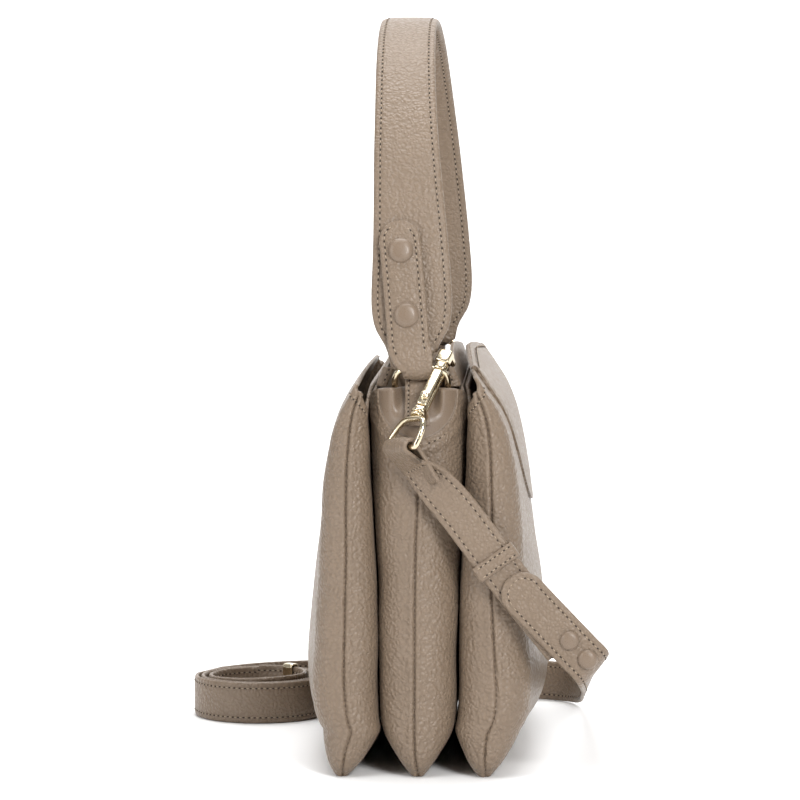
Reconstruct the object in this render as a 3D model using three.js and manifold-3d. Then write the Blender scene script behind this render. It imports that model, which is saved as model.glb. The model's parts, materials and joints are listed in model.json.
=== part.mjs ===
// A three-pouch leather shoulder bag with a padded shoulder strap, and a crossbody strap hooked
// to its near ring, run back beside the bag and coiled on the floor behind it.
// Millimetres, +Z up. The origin is the middle of the centre pouch's bottom flat.
// X runs across the pouches and Y along the bag, from its near end (-Y) to its far end (+Y).
import * as THREE from "three";
import { mergeVertices } from "three/addons/utils/BufferGeometryUtils.js";
import Module from "manifold-3d";

const wasm = await Module();
wasm.setup();

// Driving dimensions of the body
const BODY_LENGTH = 250;
const BODY_HEIGHT = 203;
const GUSSET_HEIGHT = 187.6;
const CENTRE_HALF = 23;
const OUTER_HALF = 16.9;
const LEFT_FULLNESS = 0.93;
const RIGHT_FULLNESS = 1.05;
const BULGE = 7.5;
const BOTTOM_FLAT_HALF = 3;
const LEFT_TIP_LEAN = 5;
const RIGHT_TIP_LEAN = -1.5;
const TAPER_HEIGHT = 22;
const BOTTOM_CORNER = 10;
const WALL = 1.8;
const FLOOR_WALL = 5;
const GAP = 0.3;
const POUCH_GAP = 0.7;

// Gusset ends, patches and ring tabs
const GROOVE_DEPTH = 10;
const GROOVE_HALF = 10.5;
const GROOVE_HEIGHT = 16;
const GUSSET_CORNER_DROP = 4;
const SEAM_TOP = 186;
const HEM_DIP = 8.5;
const PANEL_CORNER_RUN = 36;
const RIM_CORNER_RISE = 0.75;
const LEFT_RIM_HEIGHT = 191.5;
const RIM_END_DROP = 7.3;
const PATCH_HALF = 17.8;
const PATCH_DEPTH = 20.5;
const PATCH_THICKNESS = 1.2;
const BAND_THICKNESS = 2.2;
const BAND_HALF_LENGTH = 107;
const TAB_WIDTH = 12;
const TAB_THICKNESS = 1.6;
const TAB_DROP = 17;

// Flap that lies over the right pouch
const FLAP_DROP = 78;
const FLAP_THICKNESS = 1.6;
const FLAP_BELOW_RIM = 0.5;
const FLAP_HALF_LENGTH = 101;

// Rings and shoulder strap
const RING_WIRE = 3;
const RING_WIDTH = 28.6;
const RING_HEIGHT = 15.4;
const RING_OFFSET = 1.7;
const RING_LEAN = 9.8;
const RING_SQUARENESS = 0.5;
const STRAP_TOP = 368.4;
const STRAP_HALF_WIDTH = 19.4;
const STRAP_THICKNESS = 4;
const STRAP_CROWN = 0.6;
const STRAP_TAB_HALF = 10;
const STRAP_FOLD_HALF = 6;
const STRAP_FOLD_SLACK = 0.8;
const STRAP_TAB_TOP = 268;
const STRAP_TAB_THICKNESS = 2.6;
const SNAP_DIAMETER = 11.5;
const SNAP_HEIGHT = 1.8;
const SNAP_LOWER = 223;
const SNAP_UPPER = 253.5;

// Crossbody strap
const CROSS_WIDTH = 20;
const CROSS_THICKNESS = 2.4;
const TAIL_LENGTH = 23;
const TAIL_LEAN = 0.8;
const LONG_WIDTH = 21.5;
const LONG_THICKNESS = 2.4;
const KEEPER_WIDTH = 8;
const KEEPER_THICKNESS = 1.3;
const CROSS_SNAP_DIAMETER = 9;
const COIL_X = -90;
const COIL_FROM_FAR_END = 46;
const COIL_RADIUS = 34.4;
const COIL_PITCH = 3.2;
const COIL_TURNS = 2.8;
const COIL_INNER_SLACK = 3;
const SLIDER_WIDTH = 6.5;
const SLIDER_THICKNESS = 1.2;

// Where the hook, its eye and the crossbody strap hang: out past the bag's near end, and down
// from the gusset's edge
const HOOK_BASE_OUT = 12.6;
const HOOK_BASE_DROP = 9.8;
const HOOK_HEAD_IN = 5.2;
const HOOK_HEAD_RISE = 15.6;
const EYE_OUT = 15.6;
const EYE_DROP = 26.4;
const LONG_OUT = 9.2;
const BEND_DROP = 135;

// Swivel hook
const HOOK_LENGTH = 36.5;
const HEAD_LENGTH = 7;
const NOSE_LENGTH = 10.7;
const BRIDGE_LENGTH = 3;
const HOOK_OPENING = 7.6;
const GATE_WIDTH = 5.6;
const GATE_THICKNESS = 2.2;
const SPINE_WIDTH = 2.4;
const SPINE_OFFSET = -1.3;
const SPINE_THICKNESS = 2.2;
const COLLAR_DIAMETER = 6.6;
const EYE_WIRE = 3;
const EYE_WIDTH = 28.6;

const LEATHER = { color: 0xa89a8b, roughness: 0.55, metalness: 0 };
const SMOOTH = { color: 0xa39585, roughness: 0.45, metalness: 0 };
const METAL = { color: 0xd9cdb4, roughness: 0.12, metalness: 1 };

const bag = new THREE.Group();

function addPiece(name, geometry, look) {
  const mesh = new THREE.Mesh(geometry, new THREE.MeshStandardMaterial(look));
  mesh.name = name;
  bag.add(mesh);
  return mesh;
}

// Reads one column of a table at a share of its first column, smoothly between rows
function readTable(rows, key, column, at) {
  const last = rows.length - 1;
  if (at <= rows[0][key]) return rows[0][column];
  if (at >= rows[last][key]) return rows[last][column];
  const i = rows.findIndex((row) => row[key] > at) - 1;
  const step = rows[i + 1][key] - rows[i][key];
  const t = (at - rows[i][key]) / step;
  const slope = (k) => {
    const a = Math.max(k - 1, 0);
    const b = Math.min(k + 1, last);
    return (rows[b][column] - rows[a][column]) / (rows[b][key] - rows[a][key]);
  };
  const h00 = (1 + 2 * t) * (1 - t) ** 2;
  const h10 = t * (1 - t) ** 2;
  const h01 = t * t * (3 - 2 * t);
  const h11 = t * t * (t - 1);
  const ends = h00 * rows[i][column] + h01 * rows[i + 1][column];
  return ends + step * (h10 * slope(i) + h11 * slope(i + 1));
}

// Builds a closed mesh from rings of points; a cap at each end fans from the ring's middle
function closedLoft(rings, looped = false) {
  const points = [];
  const faces = [];
  const n = rings[0].length;
  for (const ring of rings) {
    for (const p of ring) points.push(p.x, p.y, p.z);
  }
  const spans = looped ? rings.length : rings.length - 1;
  for (let r = 0; r < spans; r++) {
    const next = (r + 1) % rings.length;
    for (let k = 0; k < n; k++) {
      const a = r * n + k;
      const b = r * n + ((k + 1) % n);
      const c = next * n + ((k + 1) % n);
      const d = next * n + k;
      faces.push(a, b, c, a, c, d);
    }
  }
  if (!looped) {
    for (const r of [0, rings.length - 1]) {
      const middle = new THREE.Vector3();
      for (const p of rings[r]) middle.addScaledVector(p, 1 / n);
      const m = points.length / 3;
      points.push(middle.x, middle.y, middle.z);
      for (let k = 0; k < n; k++) {
        const a = r * n + k;
        const b = r * n + ((k + 1) % n);
        if (r === 0) faces.push(m, b, a);
        else faces.push(m, a, b);
      }
    }
  }
  return outwardGeometry(points, faces);
}

// Turns the faces so that the enclosed volume is positive
function outwardGeometry(points, faces) {
  let volume = 0;
  const at = (i) => new THREE.Vector3(points[3 * i], points[3 * i + 1], points[3 * i + 2]);
  for (let f = 0; f < faces.length; f += 3) {
    volume += at(faces[f]).dot(at(faces[f + 1]).cross(at(faces[f + 2])));
  }
  if (volume < 0) {
    for (let f = 0; f < faces.length; f += 3) {
      const keep = faces[f + 1];
      faces[f + 1] = faces[f + 2];
      faces[f + 2] = keep;
    }
  }
  const geometry = new THREE.BufferGeometry();
  geometry.setAttribute("position", new THREE.Float32BufferAttribute(points, 3));
  geometry.setIndex(faces);
  geometry.computeVertexNormals();
  return geometry;
}

function solidOf(geometry, matrix = null) {
  const plain = geometry.clone();
  plain.deleteAttribute("normal");
  plain.deleteAttribute("uv");
  if (matrix) plain.applyMatrix4(matrix);
  const merged = mergeVertices(plain, 1e-4);
  const vertProperties = new Float32Array(merged.attributes.position.array);
  const triVerts = new Uint32Array(merged.index.array);
  return new wasm.Manifold(new wasm.Mesh({ numProp: 3, vertProperties, triVerts }));
}

function geometryOf(solid) {
  const mesh = solid.getMesh();
  const geometry = new THREE.BufferGeometry();
  geometry.setAttribute("position", new THREE.Float32BufferAttribute(mesh.vertProperties, 3));
  geometry.setIndex(new THREE.Uint32BufferAttribute(mesh.triVerts, 1));
  geometry.computeVertexNormals();
  return geometry;
}

const vector = (x, y, z) => new THREE.Vector3(x, y, z);
const smooth = (t) => {
  const s = THREE.MathUtils.clamp(t, 0, 1);
  return s * s * (3 - 2 * s);
};

// Outer half-width of the centre pouch and of the bands above it, by share of the body height
const CENTRE_PROFILE = [
  { height: 0, half: 0.13 },
  { height: 0.05, half: 0.435 },
  { height: 0.108, half: 0.74 },
  { height: 0.187, half: 0.81 },
  { height: 0.36, half: 0.826 },
  { height: 0.517, half: 0.87 },
  { height: 0.69, half: 0.957 },
  { height: 0.8, half: 1 },
  { height: 0.877, half: 1 },
  { height: 0.921, half: 0.93 },
  { height: 0.96, half: 0.8 },
  { height: 1, half: 0.66 },
];

// Half-thickness of an outer pouch at its ends, and how far it swells at mid-length
const OUTER_PROFILE = [
  { height: 0, half: 0.178, swell: 0.05 },
  { height: 0.045, half: 0.56, swell: 0.3 },
  { height: 0.108, half: 0.89, swell: 0.7 },
  { height: 0.187, half: 1, swell: 0.95 },
  { height: 0.36, half: 0.95, swell: 1 },
  { height: 0.517, half: 0.87, swell: 0.68 },
  { height: 0.69, half: 0.73, swell: 0.3 },
  { height: 0.8, half: 0.58, swell: 0.25 },
  { height: 0.867, half: 0.41, swell: 0.35 },
  { height: 0.916, half: 0.28, swell: 0.32 },
  { height: 0.96, half: 0.21, swell: 0.14 },
  { height: 1, half: 0.15, swell: 0.04 },
];

const centreHalfAt = (z) => {
  const share = readTable(CENTRE_PROFILE, "height", "half", z / BODY_HEIGHT);
  return z < TAPER_HEIGHT ? Math.max(share * CENTRE_HALF, BOTTOM_FLAT_HALF) : share * CENTRE_HALF;
};

// Half the length of every pouch at a height: the bottom corners are rounded
function halfLengthAt(z) {
  const drop = Math.max(0, 1 - z / BOTTOM_CORNER);
  return BODY_LENGTH / 2 - BOTTOM_CORNER * (1 - Math.sqrt(1 - drop * drop));
}

// An outer pouch at a height: its middle, half-thickness and swell, before the side's sign
function outerSection(z, fullness) {
  const share = z / BODY_HEIGHT;
  const half = (h) => OUTER_HALF * readTable(OUTER_PROFILE, "height", "half", h / BODY_HEIGHT);
  const full = z > TAPER_HEIGHT ? fullness : 1 + (fullness - 1) * (z / TAPER_HEIGHT);
  const seat = Math.max(z, TAPER_HEIGHT);
  const halfHere = half(z) * full;
  const clear = POUCH_GAP * (1 + smooth((share - 0.78) / 0.1));
  return {
    middle: centreHalfAt(seat) + clear + half(seat) * fullness,
    half: Math.max(halfHere, z < TAPER_HEIGHT ? BOTTOM_FLAT_HALF : 0),
    swell: BULGE * full * readTable(OUTER_PROFILE, "height", "swell", share),
  };
}

// One closed outline: near end arc, outer side, far end arc, inner side
// The arc's columns are given by their place across half of the end
function outlineColumns(placesAcross, outerSteps, innerSteps) {
  const arc = [...placesAcross].reverse().map((place) => 0.5 - Math.asin(place) / Math.PI);
  for (const place of placesAcross.slice(1, -1)) arc.push(0.5 + Math.asin(place) / Math.PI);
  const steps = (part, count) => Array.from({ length: count }, (_, k) => ({ part, t: k / count }));
  return [
    ...arc.map((t) => ({ part: "near", t })),
    ...steps("outer", outerSteps),
    ...arc.map((t) => ({ part: "far", t })),
    ...steps("inner", innerSteps),
  ];
}
const OUTER_COLUMNS = outlineColumns([0, 0.4, 0.72, 0.93, 1], 9, 3);
const CENTRE_COLUMNS = outlineColumns([0, 0.29, 0.37, 0.45, 0.55, 0.72, 0.88, 0.97, 1], 3, 3);

// Point of a column on an outline with half-width h, half-length l and mid-length swell
function outlinePoint(column, h, l, swell) {
  const straight = l - h;
  const turn = -Math.PI / 2 + Math.PI * column.t;
  const run = -straight + 2 * straight * column.t;
  const swollen = swell * (1 - (run / straight) ** 2);
  if (column.part === "near") return { x: h * Math.sin(turn), y: -straight - h * Math.cos(turn) };
  if (column.part === "outer") return { x: h + swollen, y: run };
  if (column.part === "far") return { x: -h * Math.sin(turn), y: straight + h * Math.cos(turn) };
  return { x: -h, y: -run };
}

// Levels that all pouches share, by share of the body height, then the steps up to each top edge
const SHARED_LEVELS = [0, 0.02, 0.05, 0.08, 0.108, 0.16, 0.25, 0.38, 0.52, 0.65, 0.76, 0.85];
const RIM_STEPS = 4;
function levelHeights(top, bottom = 0) {
  const shared = SHARED_LEVELS.map((level) => bottom + level * (BODY_HEIGHT - bottom));
  const start = shared[shared.length - 1];
  for (let k = 1; k <= RIM_STEPS; k++) shared.push(start + (top - start) * (k / RIM_STEPS));
  return shared;
}

// A pouch shell: outer skin, rim and inner skin, open at the top
function pouchSkin(columns, sectionAt, topOf, bottom, inset) {
  const heights = columns.map((column) => levelHeights(topOf(column), bottom));
  return heights[0].map((_, level) => columns.map((column, k) => {
    return sectionAt(column, heights[k][level], inset);
  }));
}
function pouchShell(columns, sectionAt, topOf) {
  const outer = pouchSkin(columns, sectionAt, topOf, 0, 0);
  const inner = pouchSkin(columns, sectionAt, topOf, FLOOR_WALL, WALL);
  const sparse = inner.filter((_, level) => level % 2 === 1 || level === 0);
  return closedLoft([...outer, ...sparse.reverse()]);
}

function outerPouchPoint(side, fullness, column, z, inset) {
  const s = outerSection(z, fullness);
  const p = outlinePoint(column, Math.max(s.half - inset, 0.7), halfLengthAt(z) - inset, s.swell);
  const lean = (side < 0 ? LEFT_TIP_LEAN : RIGHT_TIP_LEAN) * Math.max(1 - z / TAPER_HEIGHT, 0);
  return vector(side * (s.middle + lean + p.x), p.y, z);
}

// Height of the rims along the bag: they fall towards its ends, and the left pouch's rim is low
const hillHeight = (y) => BODY_HEIGHT - RIM_END_DROP * (Math.abs(y) / (BODY_LENGTH / 2)) ** 1.5;
const panelHeight = (side, y) => (side < 0 ? LEFT_RIM_HEIGHT : hillHeight(y));

// Top edge of an outer pouch: tall on the outer side, a hemmed dip at each end, and lower on the
// inner side, where the band beside it is the mouth's other lip
function outerPouchTop(side, column) {
  const atEnd = column.part === "near" || column.part === "far";
  const t = column.part === "far" ? 1 - column.t : column.t;
  if (!atEnd) {
    const fromEnd = Math.min(column.t, 1 - column.t) * BODY_LENGTH;
    const start = column.part === "outer" ? RIM_CORNER_RISE : 0;
    const rise = start + (1 - start) * smooth(fromEnd / PANEL_CORNER_RUN);
    const low = column.part === "outer" ? SEAM_TOP : SEAM_TOP - HEM_DIP;
    const tall = panelHeight(side, BODY_LENGTH / 2 - fromEnd);
    const high = column.part === "outer" ? tall : GUSSET_HEIGHT;
    return low + (high - low) * rise;
  }
  if (t <= 0.5) return SEAM_TOP - HEM_DIP * (1 - 2 * t);
  const corner = panelHeight(side, BODY_LENGTH / 2) - SEAM_TOP;
  return SEAM_TOP + corner * RIM_CORNER_RISE * (2 * t - 1);
}

function outerPouch(side, fullness) {
  const pointAt = (column, z, inset) => outerPouchPoint(side, fullness, column, z, inset);
  return pouchShell(OUTER_COLUMNS, pointAt, (column) => outerPouchTop(side, column));
}

// How far the middle of the centre pouch's end is folded inward
function grooveAt(x, z) {
  const across = 1 - smooth((Math.abs(x) - GROOVE_HALF * 0.7) / (GROOVE_HALF * 0.5));
  const down = smooth((z - (GUSSET_HEIGHT - GROOVE_HEIGHT)) / GROOVE_HEIGHT);
  return GROOVE_DEPTH * across * down;
}

// The centre pouch's end skin: its Y at a place across the end, at a height
function centreEndY(x, z, inset = 0) {
  const h = centreHalfAt(z) - inset;
  const l = halfLengthAt(z) - inset;
  const across = Math.min(Math.abs(x), h);
  return l - h + Math.sqrt(h * h - across * across) - grooveAt(x, z);
}

function centrePouchPoint(column, z, inset) {
  const h = Math.max(centreHalfAt(z) - inset, 1);
  const p = outlinePoint(column, h, halfLengthAt(z) - inset, 0);
  const atEnd = column.part === "near" || column.part === "far";
  if (!atEnd) return vector(p.x, p.y, z);
  return vector(p.x, Math.sign(p.y) * (Math.abs(p.y) - grooveAt(p.x, z)), z);
}

function centrePouchTop(column) {
  const atEnd = column.part === "near" || column.part === "far";
  if (!atEnd) return GUSSET_HEIGHT - (column.t === 0 ? GUSSET_CORNER_DROP : 0);
  const fromMiddle = Math.abs(2 * column.t - 1);
  return GUSSET_HEIGHT - GUSSET_CORNER_DROP * fromMiddle ** 6;
}

addPiece("pouch_centre", pouchShell(CENTRE_COLUMNS, centrePouchPoint, centrePouchTop), LEATHER);
addPiece("pouch_left", outerPouch(-1, LEFT_FULLNESS), LEATHER);
addPiece("pouch_right", outerPouch(1, RIGHT_FULLNESS), LEATHER);

// A thin sheet laid on a surface: two grids joined along their edges
function sheetOn(skin, columns, rows, gap, thickness) {
  const rings = [];
  for (let c = 0; c <= columns; c++) {
    const ring = [];
    for (let r = 0; r <= rows; r++) ring.push(skin(c / columns, r / rows, gap));
    for (let r = rows; r >= 0; r--) ring.push(skin(c / columns, r / rows, gap + thickness));
    rings.push(ring);
  }
  return closedLoft(rings);
}

// The centre pouch filled and grown outward, to fit its patches and tabs
function grownPouch(grown) {
  const rings = pouchSkin(CENTRE_COLUMNS, centrePouchPoint, centrePouchTop, 0, -grown);
  return solidOf(closedLoft(rings));
}

// Smooth half-moon patch on each end of the centre pouch
function gussetPatch(end) {
  const outline = new THREE.Shape();
  const top = GUSSET_HEIGHT - GUSSET_CORNER_DROP * 0.6;
  const straight = 2;
  outline.moveTo(-PATCH_HALF, top);
  outline.lineTo(-PATCH_HALF, top - straight);
  outline.absellipse(0, top - straight, PATCH_HALF, PATCH_DEPTH - straight, Math.PI, 2 * Math.PI);
  outline.lineTo(PATCH_HALF, top);
  outline.closePath();
  const depth = 2 * GROOVE_DEPTH;
  const options = { depth, bevelEnabled: false, curveSegments: 8 };
  const prism = new THREE.ExtrudeGeometry(outline, options);
  prism.rotateX(Math.PI / 2);
  const middle = BODY_LENGTH / 2 + 2 * PATCH_THICKNESS - GROOVE_DEPTH;
  prism.translate(0, depth / 2 + end * middle, 0);
  const leaf = solidOf(prism).intersect(grownPouch(GAP + PATCH_THICKNESS));
  return geometryOf(leaf.subtract(grownPouch(GAP)));
}
addPiece("gusset_patch_near", gussetPatch(-1), SMOOTH);
addPiece("gusset_patch_far", gussetPatch(1), SMOOTH);

// Stitched bands that stand above the centre pouch's side walls
function topBand(side) {
  const rings = [];
  const lengthSteps = 10;
  const heightSteps = 3;
  for (let k = 0; k <= lengthSteps; k++) {
    const y = BAND_HALF_LENGTH * (2 * (k / lengthSteps) - 1);
    const low = GUSSET_HEIGHT + GAP;
    const outer = [];
    const inner = [];
    for (let j = 0; j <= heightSteps; j++) {
      const z = low + (hillHeight(y) - low) * (j / heightSteps);
      const reach = centreHalfAt(z) - POUCH_GAP / 2;
      outer.push(vector(side * reach, y, z));
      inner.push(vector(side * (reach - BAND_THICKNESS), y, z));
    }
    rings.push([...outer, ...inner.reverse()]);
  }
  return closedLoft(rings);
}
addPiece("top_band_left", topBand(-1), LEATHER);
addPiece("top_band_right", topBand(1), LEATHER);

// Outer face of the right pouch as a surface of length and height
function rightFace(y, z) {
  const s = outerSection(z, RIGHT_FULLNESS);
  const straight = halfLengthAt(z) - s.half;
  const swollen = s.swell * Math.max(0, 1 - (y / straight) ** 2);
  const past = Math.max(0, Math.abs(y) - straight);
  return s.middle + Math.sqrt(Math.max(s.half * s.half - past * past, 0)) + swollen;
}

function flapPoint(u, v, lift) {
  const y = FLAP_HALF_LENGTH * (2 * u - 1) * 0.995;
  const drop = FLAP_DROP * Math.sqrt(1 - (y / FLAP_HALF_LENGTH) ** 2);
  const z = hillHeight(y) - FLAP_BELOW_RIM - drop * v;
  const e = 0.5;
  const slopeZ = (rightFace(y, z + e) - rightFace(y, z - e)) / (2 * e);
  const slopeY = (rightFace(y + e, z) - rightFace(y - e, z)) / (2 * e);
  const normal = vector(1, -slopeY, -slopeZ).normalize();
  return vector(rightFace(y, z), y, z).addScaledVector(normal, lift);
}
addPiece("front_flap", sheetOn(flapPoint, 22, 8, 5.5 * GAP, FLAP_THICKNESS), LEATHER);

// Sweeps a flat strap's section along stations {at, across, half, thick}
function strap(stations, crown = 0) {
  const rings = stations.map((s, i) => {
    const before = stations[Math.max(i - 1, 0)].at;
    const after = stations[Math.min(i + 1, stations.length - 1)].at;
    const along = vector(0, 0, 0).subVectors(after, before).normalize();
    const across = s.across.clone().addScaledVector(along, -s.across.dot(along)).normalize();
    const out = vector(0, 0, 0).crossVectors(along, across);
    const t = s.thick / 2;
    const w = s.half;
    const e = Math.min(t * 0.7, w * 0.4);
    const puff = t + crown * Math.min(1, w / STRAP_TAB_HALF);
    const ridge = crown > 0 ? [[0, -puff]] : [];
    const section = [
      [-w, -t * 0.4], [-w + e, -t], ...ridge, [w - e, -t], [w, -t * 0.4],
      [w, t * 0.4], [w - e, t], ...ridge.map(([a, b]) => [a, -b]), [-w + e, t], [-w, t * 0.4],
    ];
    return section.map(([a, b]) => s.at.clone().addScaledVector(across, a).addScaledVector(out, b));
  });
  return closedLoft(rings);
}

// Half-width of a strap near a round tip
const roundTip = (half, fromTip) => {
  const r = Math.min(fromTip / half, 1);
  return half * Math.sqrt(Math.max(1 - (1 - r) ** 2, 0.02));
};

// D-rings: a straight bar in the tab's fold and a round arch above it
const RING_BAR_Y = BODY_LENGTH / 2 - GROOVE_DEPTH - 4.6;
const RING_BAR_Z = GUSSET_HEIGHT - 4;
function ringPath(end) {
  const points = [];
  const a = (RING_WIDTH - RING_WIRE) / 2;
  const b = RING_HEIGHT - RING_WIRE / 2;
  const corner = 2.5;
  const place = (u, v) => {
    const share = v / b;
    return vector(RING_OFFSET + u, end * (RING_BAR_Y + RING_LEAN * share), RING_BAR_Z + v);
  };
  for (let k = 0; k <= 4; k++) {
    const turn = Math.PI / 2 * (k / 4);
    points.push(place(-a + corner - corner * Math.sin(turn), corner - corner * Math.cos(turn)));
  }
  for (let k = 1; k < 16; k++) {
    const turn = Math.PI - Math.PI * (k / 16);
    const x = a * Math.sign(Math.cos(turn)) * Math.abs(Math.cos(turn)) ** RING_SQUARENESS;
    points.push(place(x, corner + (b - corner) * Math.sin(turn) ** RING_SQUARENESS));
  }
  for (let k = 4; k >= 0; k--) {
    const turn = Math.PI / 2 * (k / 4);
    points.push(place(a - corner + corner * Math.sin(turn), corner - corner * Math.cos(turn)));
  }
  return points;
}

// A round wire along points; a looped one joins its own start
function wire(points, diameter, sides, looped, upright) {
  const n = points.length;
  const rings = points.map((p, i) => {
    const before = looped ? points[(i + n - 1) % n] : points[Math.max(i - 1, 0)];
    const after = looped ? points[(i + 1) % n] : points[Math.min(i + 1, n - 1)];
    const along = vector(0, 0, 0).subVectors(after, before).normalize();
    const side = vector(0, 0, 0).crossVectors(along, upright).normalize();
    const up = vector(0, 0, 0).crossVectors(side, along);
    const ring = [];
    for (let k = 0; k < sides; k++) {
      const turn = 2 * Math.PI * k / sides;
      const reach = p.clone().addScaledVector(side, diameter / 2 * Math.cos(turn));
      ring.push(reach.addScaledVector(up, diameter / 2 * Math.sin(turn)));
    }
    return ring;
  });
  return closedLoft(rings, looped);
}
for (const [name, end] of [["d_ring_near", -1], ["d_ring_far", 1]]) {
  const facing = vector(0, end * RING_HEIGHT, -RING_LEAN).normalize();
  addPiece(name, wire(ringPath(end), RING_WIRE, 8, true, facing), METAL);
}

// Stitched tabs that hook over the gusset's edge and hold the ring's bar
function ringTab(end) {
  const lip = centreEndY(0, GUSSET_HEIGHT);
  const front = lip + PATCH_THICKNESS + 4 * GAP + TAB_THICKNESS / 2;
  const back = RING_BAR_Y - RING_WIRE / 2 - GAP - TAB_THICKNESS / 2;
  const radius = (front - back) / 2;
  const middle = (front + back) / 2;
  const foot = GUSSET_HEIGHT - TAB_DROP;
  const stations = [];
  const add = (y, z) => stations.push({
    at: vector(0, end * y, z), across: vector(1, 0, 0), half: TAB_WIDTH / 2, thick: TAB_THICKNESS,
  });
  const frontRows = 5;
  for (let k = 0; k < frontRows; k++) {
    const z = foot + (GUSSET_HEIGHT - foot) * (k / frontRows);
    add(Math.max(centreEndY(0, z), lip) + (front - lip), z);
  }
  for (let k = 0; k <= 6; k++) {
    const turn = Math.PI * (k / 6);
    add(middle + radius * Math.cos(turn), GUSSET_HEIGHT + 0.4 + radius * 0.9 * Math.sin(turn));
  }
  for (let k = 1; k <= 3; k++) add(back, GUSSET_HEIGHT - TAB_DROP * 0.8 * (k / 3));
  return strap(stations);
}
addPiece("ring_tab_near", ringTab(-1), LEATHER);
addPiece("ring_tab_far", ringTab(1), LEATHER);

// Shoulder strap: half-width by height, and lean to the side along the arch
const STRAP_PROFILE = [
  { height: 0, half: 0.57 },
  { height: 0.035, half: 0.65 },
  { height: 0.065, half: 0.79 },
  { height: 0.095, half: 0.92 },
  { height: 0.14, half: 0.99 },
  { height: 0.185, half: 1 },
  { height: 0.24, half: 0.98 },
  { height: 0.29, half: 0.955 },
  { height: 0.42, half: 0.895 },
  { height: 0.56, half: 0.835 },
  { height: 0.75, half: 0.77 },
  { height: 1, half: 0.732 },
];
const STRAP_LEAN = [
  { along: 0, x: -0.13 },
  { along: 0.1, x: -0.18 },
  { along: 0.22, x: -0.33 },
  { along: 0.36, x: -0.41 },
  { along: 0.5, x: -0.37 },
  { along: 0.66, x: -0.2 },
  { along: 0.8, x: 0 },
  { along: 0.92, x: 0.12 },
  { along: 1, x: 0.1 },
];
const RING_TOP_Y = RING_BAR_Y + RING_LEAN;
const RING_TOP_Z = RING_BAR_Z + RING_HEIGHT - RING_WIRE / 2;
const FOLD_RADIUS = RING_WIRE / 2 + GAP + STRAP_FOLD_SLACK + STRAP_TAB_THICKNESS / 2;
const LEG_Y = RING_TOP_Y - FOLD_RADIUS + 0.6;
const NECK_Z = RING_TOP_Z + 4;
const ARCH_RISE = STRAP_TOP - STRAP_THICKNESS / 2 - STRAP_CROWN - NECK_Z;
const leanAt = (along) => STRAP_HALF_WIDTH * readTable(STRAP_LEAN, "along", "x", along);
const legY = (z) => {
  const rise = THREE.MathUtils.clamp((z - NECK_Z) / ARCH_RISE, 0, 1);
  return LEG_Y * Math.sqrt(1 - rise * rise);
};
const TAB_LIFT = STRAP_THICKNESS / 2 + 2 * STRAP_CROWN + 2 * GAP + STRAP_TAB_THICKNESS / 2;
const tabY = (z) => {
  const low = RING_TOP_Y + FOLD_RADIUS;
  return low + (legY(z) + TAB_LIFT - low) * smooth((z - RING_TOP_Z) / 14);
};

// The tabs lean further to the left than the strap that they lie on
const tabLean = (z) => {
  const share = Math.max((z - RING_TOP_Z) / (STRAP_TAB_TOP - RING_TOP_Z), 0);
  return -STRAP_TAB_HALF * (0.12 + 0.6 * share ** 1.3);
};

const FOLD_X = RING_OFFSET - 1.5;
function tabX(end, z) {
  const free = leanAt(end < 0 ? 0 : 1) + tabLean(z) * (end < 0 ? 1 : 0.3);
  return FOLD_X + (free - FOLD_X) * smooth((z - RING_TOP_Z) / 8);
}

function shoulderStrap() {
  const stations = [];
  const add = (x, y, z, half, thick) => stations.push({
    at: vector(x, y, z), across: vector(1, 0, 0), half, thick,
  });
  const tabSide = (end, rows) => {
    const side = [];
    for (let k = 0; k <= rows; k++) {
      const share = k / rows;
      const z = STRAP_TAB_TOP + (RING_TOP_Z - STRAP_TAB_TOP) * share ** 1.6;
      const pinch = smooth((z - RING_TOP_Z) / 8);
      const wide = STRAP_FOLD_HALF + (STRAP_TAB_HALF - STRAP_FOLD_HALF) * pinch;
      const half = roundTip(wide, STRAP_TAB_TOP - z);
      side.push([tabX(end, z), end * tabY(z), z, half, STRAP_TAB_THICKNESS]);
    }
    for (let k = 1; k <= 5; k++) {
      const turn = Math.PI * (k / 6);
      const y = RING_TOP_Y + FOLD_RADIUS * Math.cos(turn);
      const z = RING_TOP_Z - FOLD_RADIUS * Math.sin(turn);
      side.push([FOLD_X, end * y, z, STRAP_FOLD_HALF, STRAP_TAB_THICKNESS]);
    }
    return side;
  };
  for (const row of tabSide(-1, 10)) add(...row);
  const archSteps = 30;
  add(FOLD_X, -(RING_TOP_Y - FOLD_RADIUS), RING_TOP_Z, STRAP_FOLD_HALF, STRAP_TAB_THICKNESS);
  for (let k = 0; k <= archSteps; k++) {
    const along = k / archSteps;
    const turn = Math.PI * along;
    const rise = Math.sin(turn);
    const half = STRAP_HALF_WIDTH * readTable(STRAP_PROFILE, "height", "half", rise);
    const thick = STRAP_TAB_THICKNESS + (STRAP_THICKNESS - STRAP_TAB_THICKNESS) * smooth(rise / 0.08);
    add(leanAt(along), -LEG_Y * Math.cos(turn), NECK_Z + ARCH_RISE * rise, half, thick);
  }
  add(FOLD_X, RING_TOP_Y - FOLD_RADIUS, RING_TOP_Z, STRAP_FOLD_HALF, STRAP_TAB_THICKNESS);
  for (const row of tabSide(1, 10).reverse()) add(...row);
  return strap(stations, STRAP_CROWN);
}
addPiece("shoulder_strap", shoulderStrap(), LEATHER);

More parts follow.
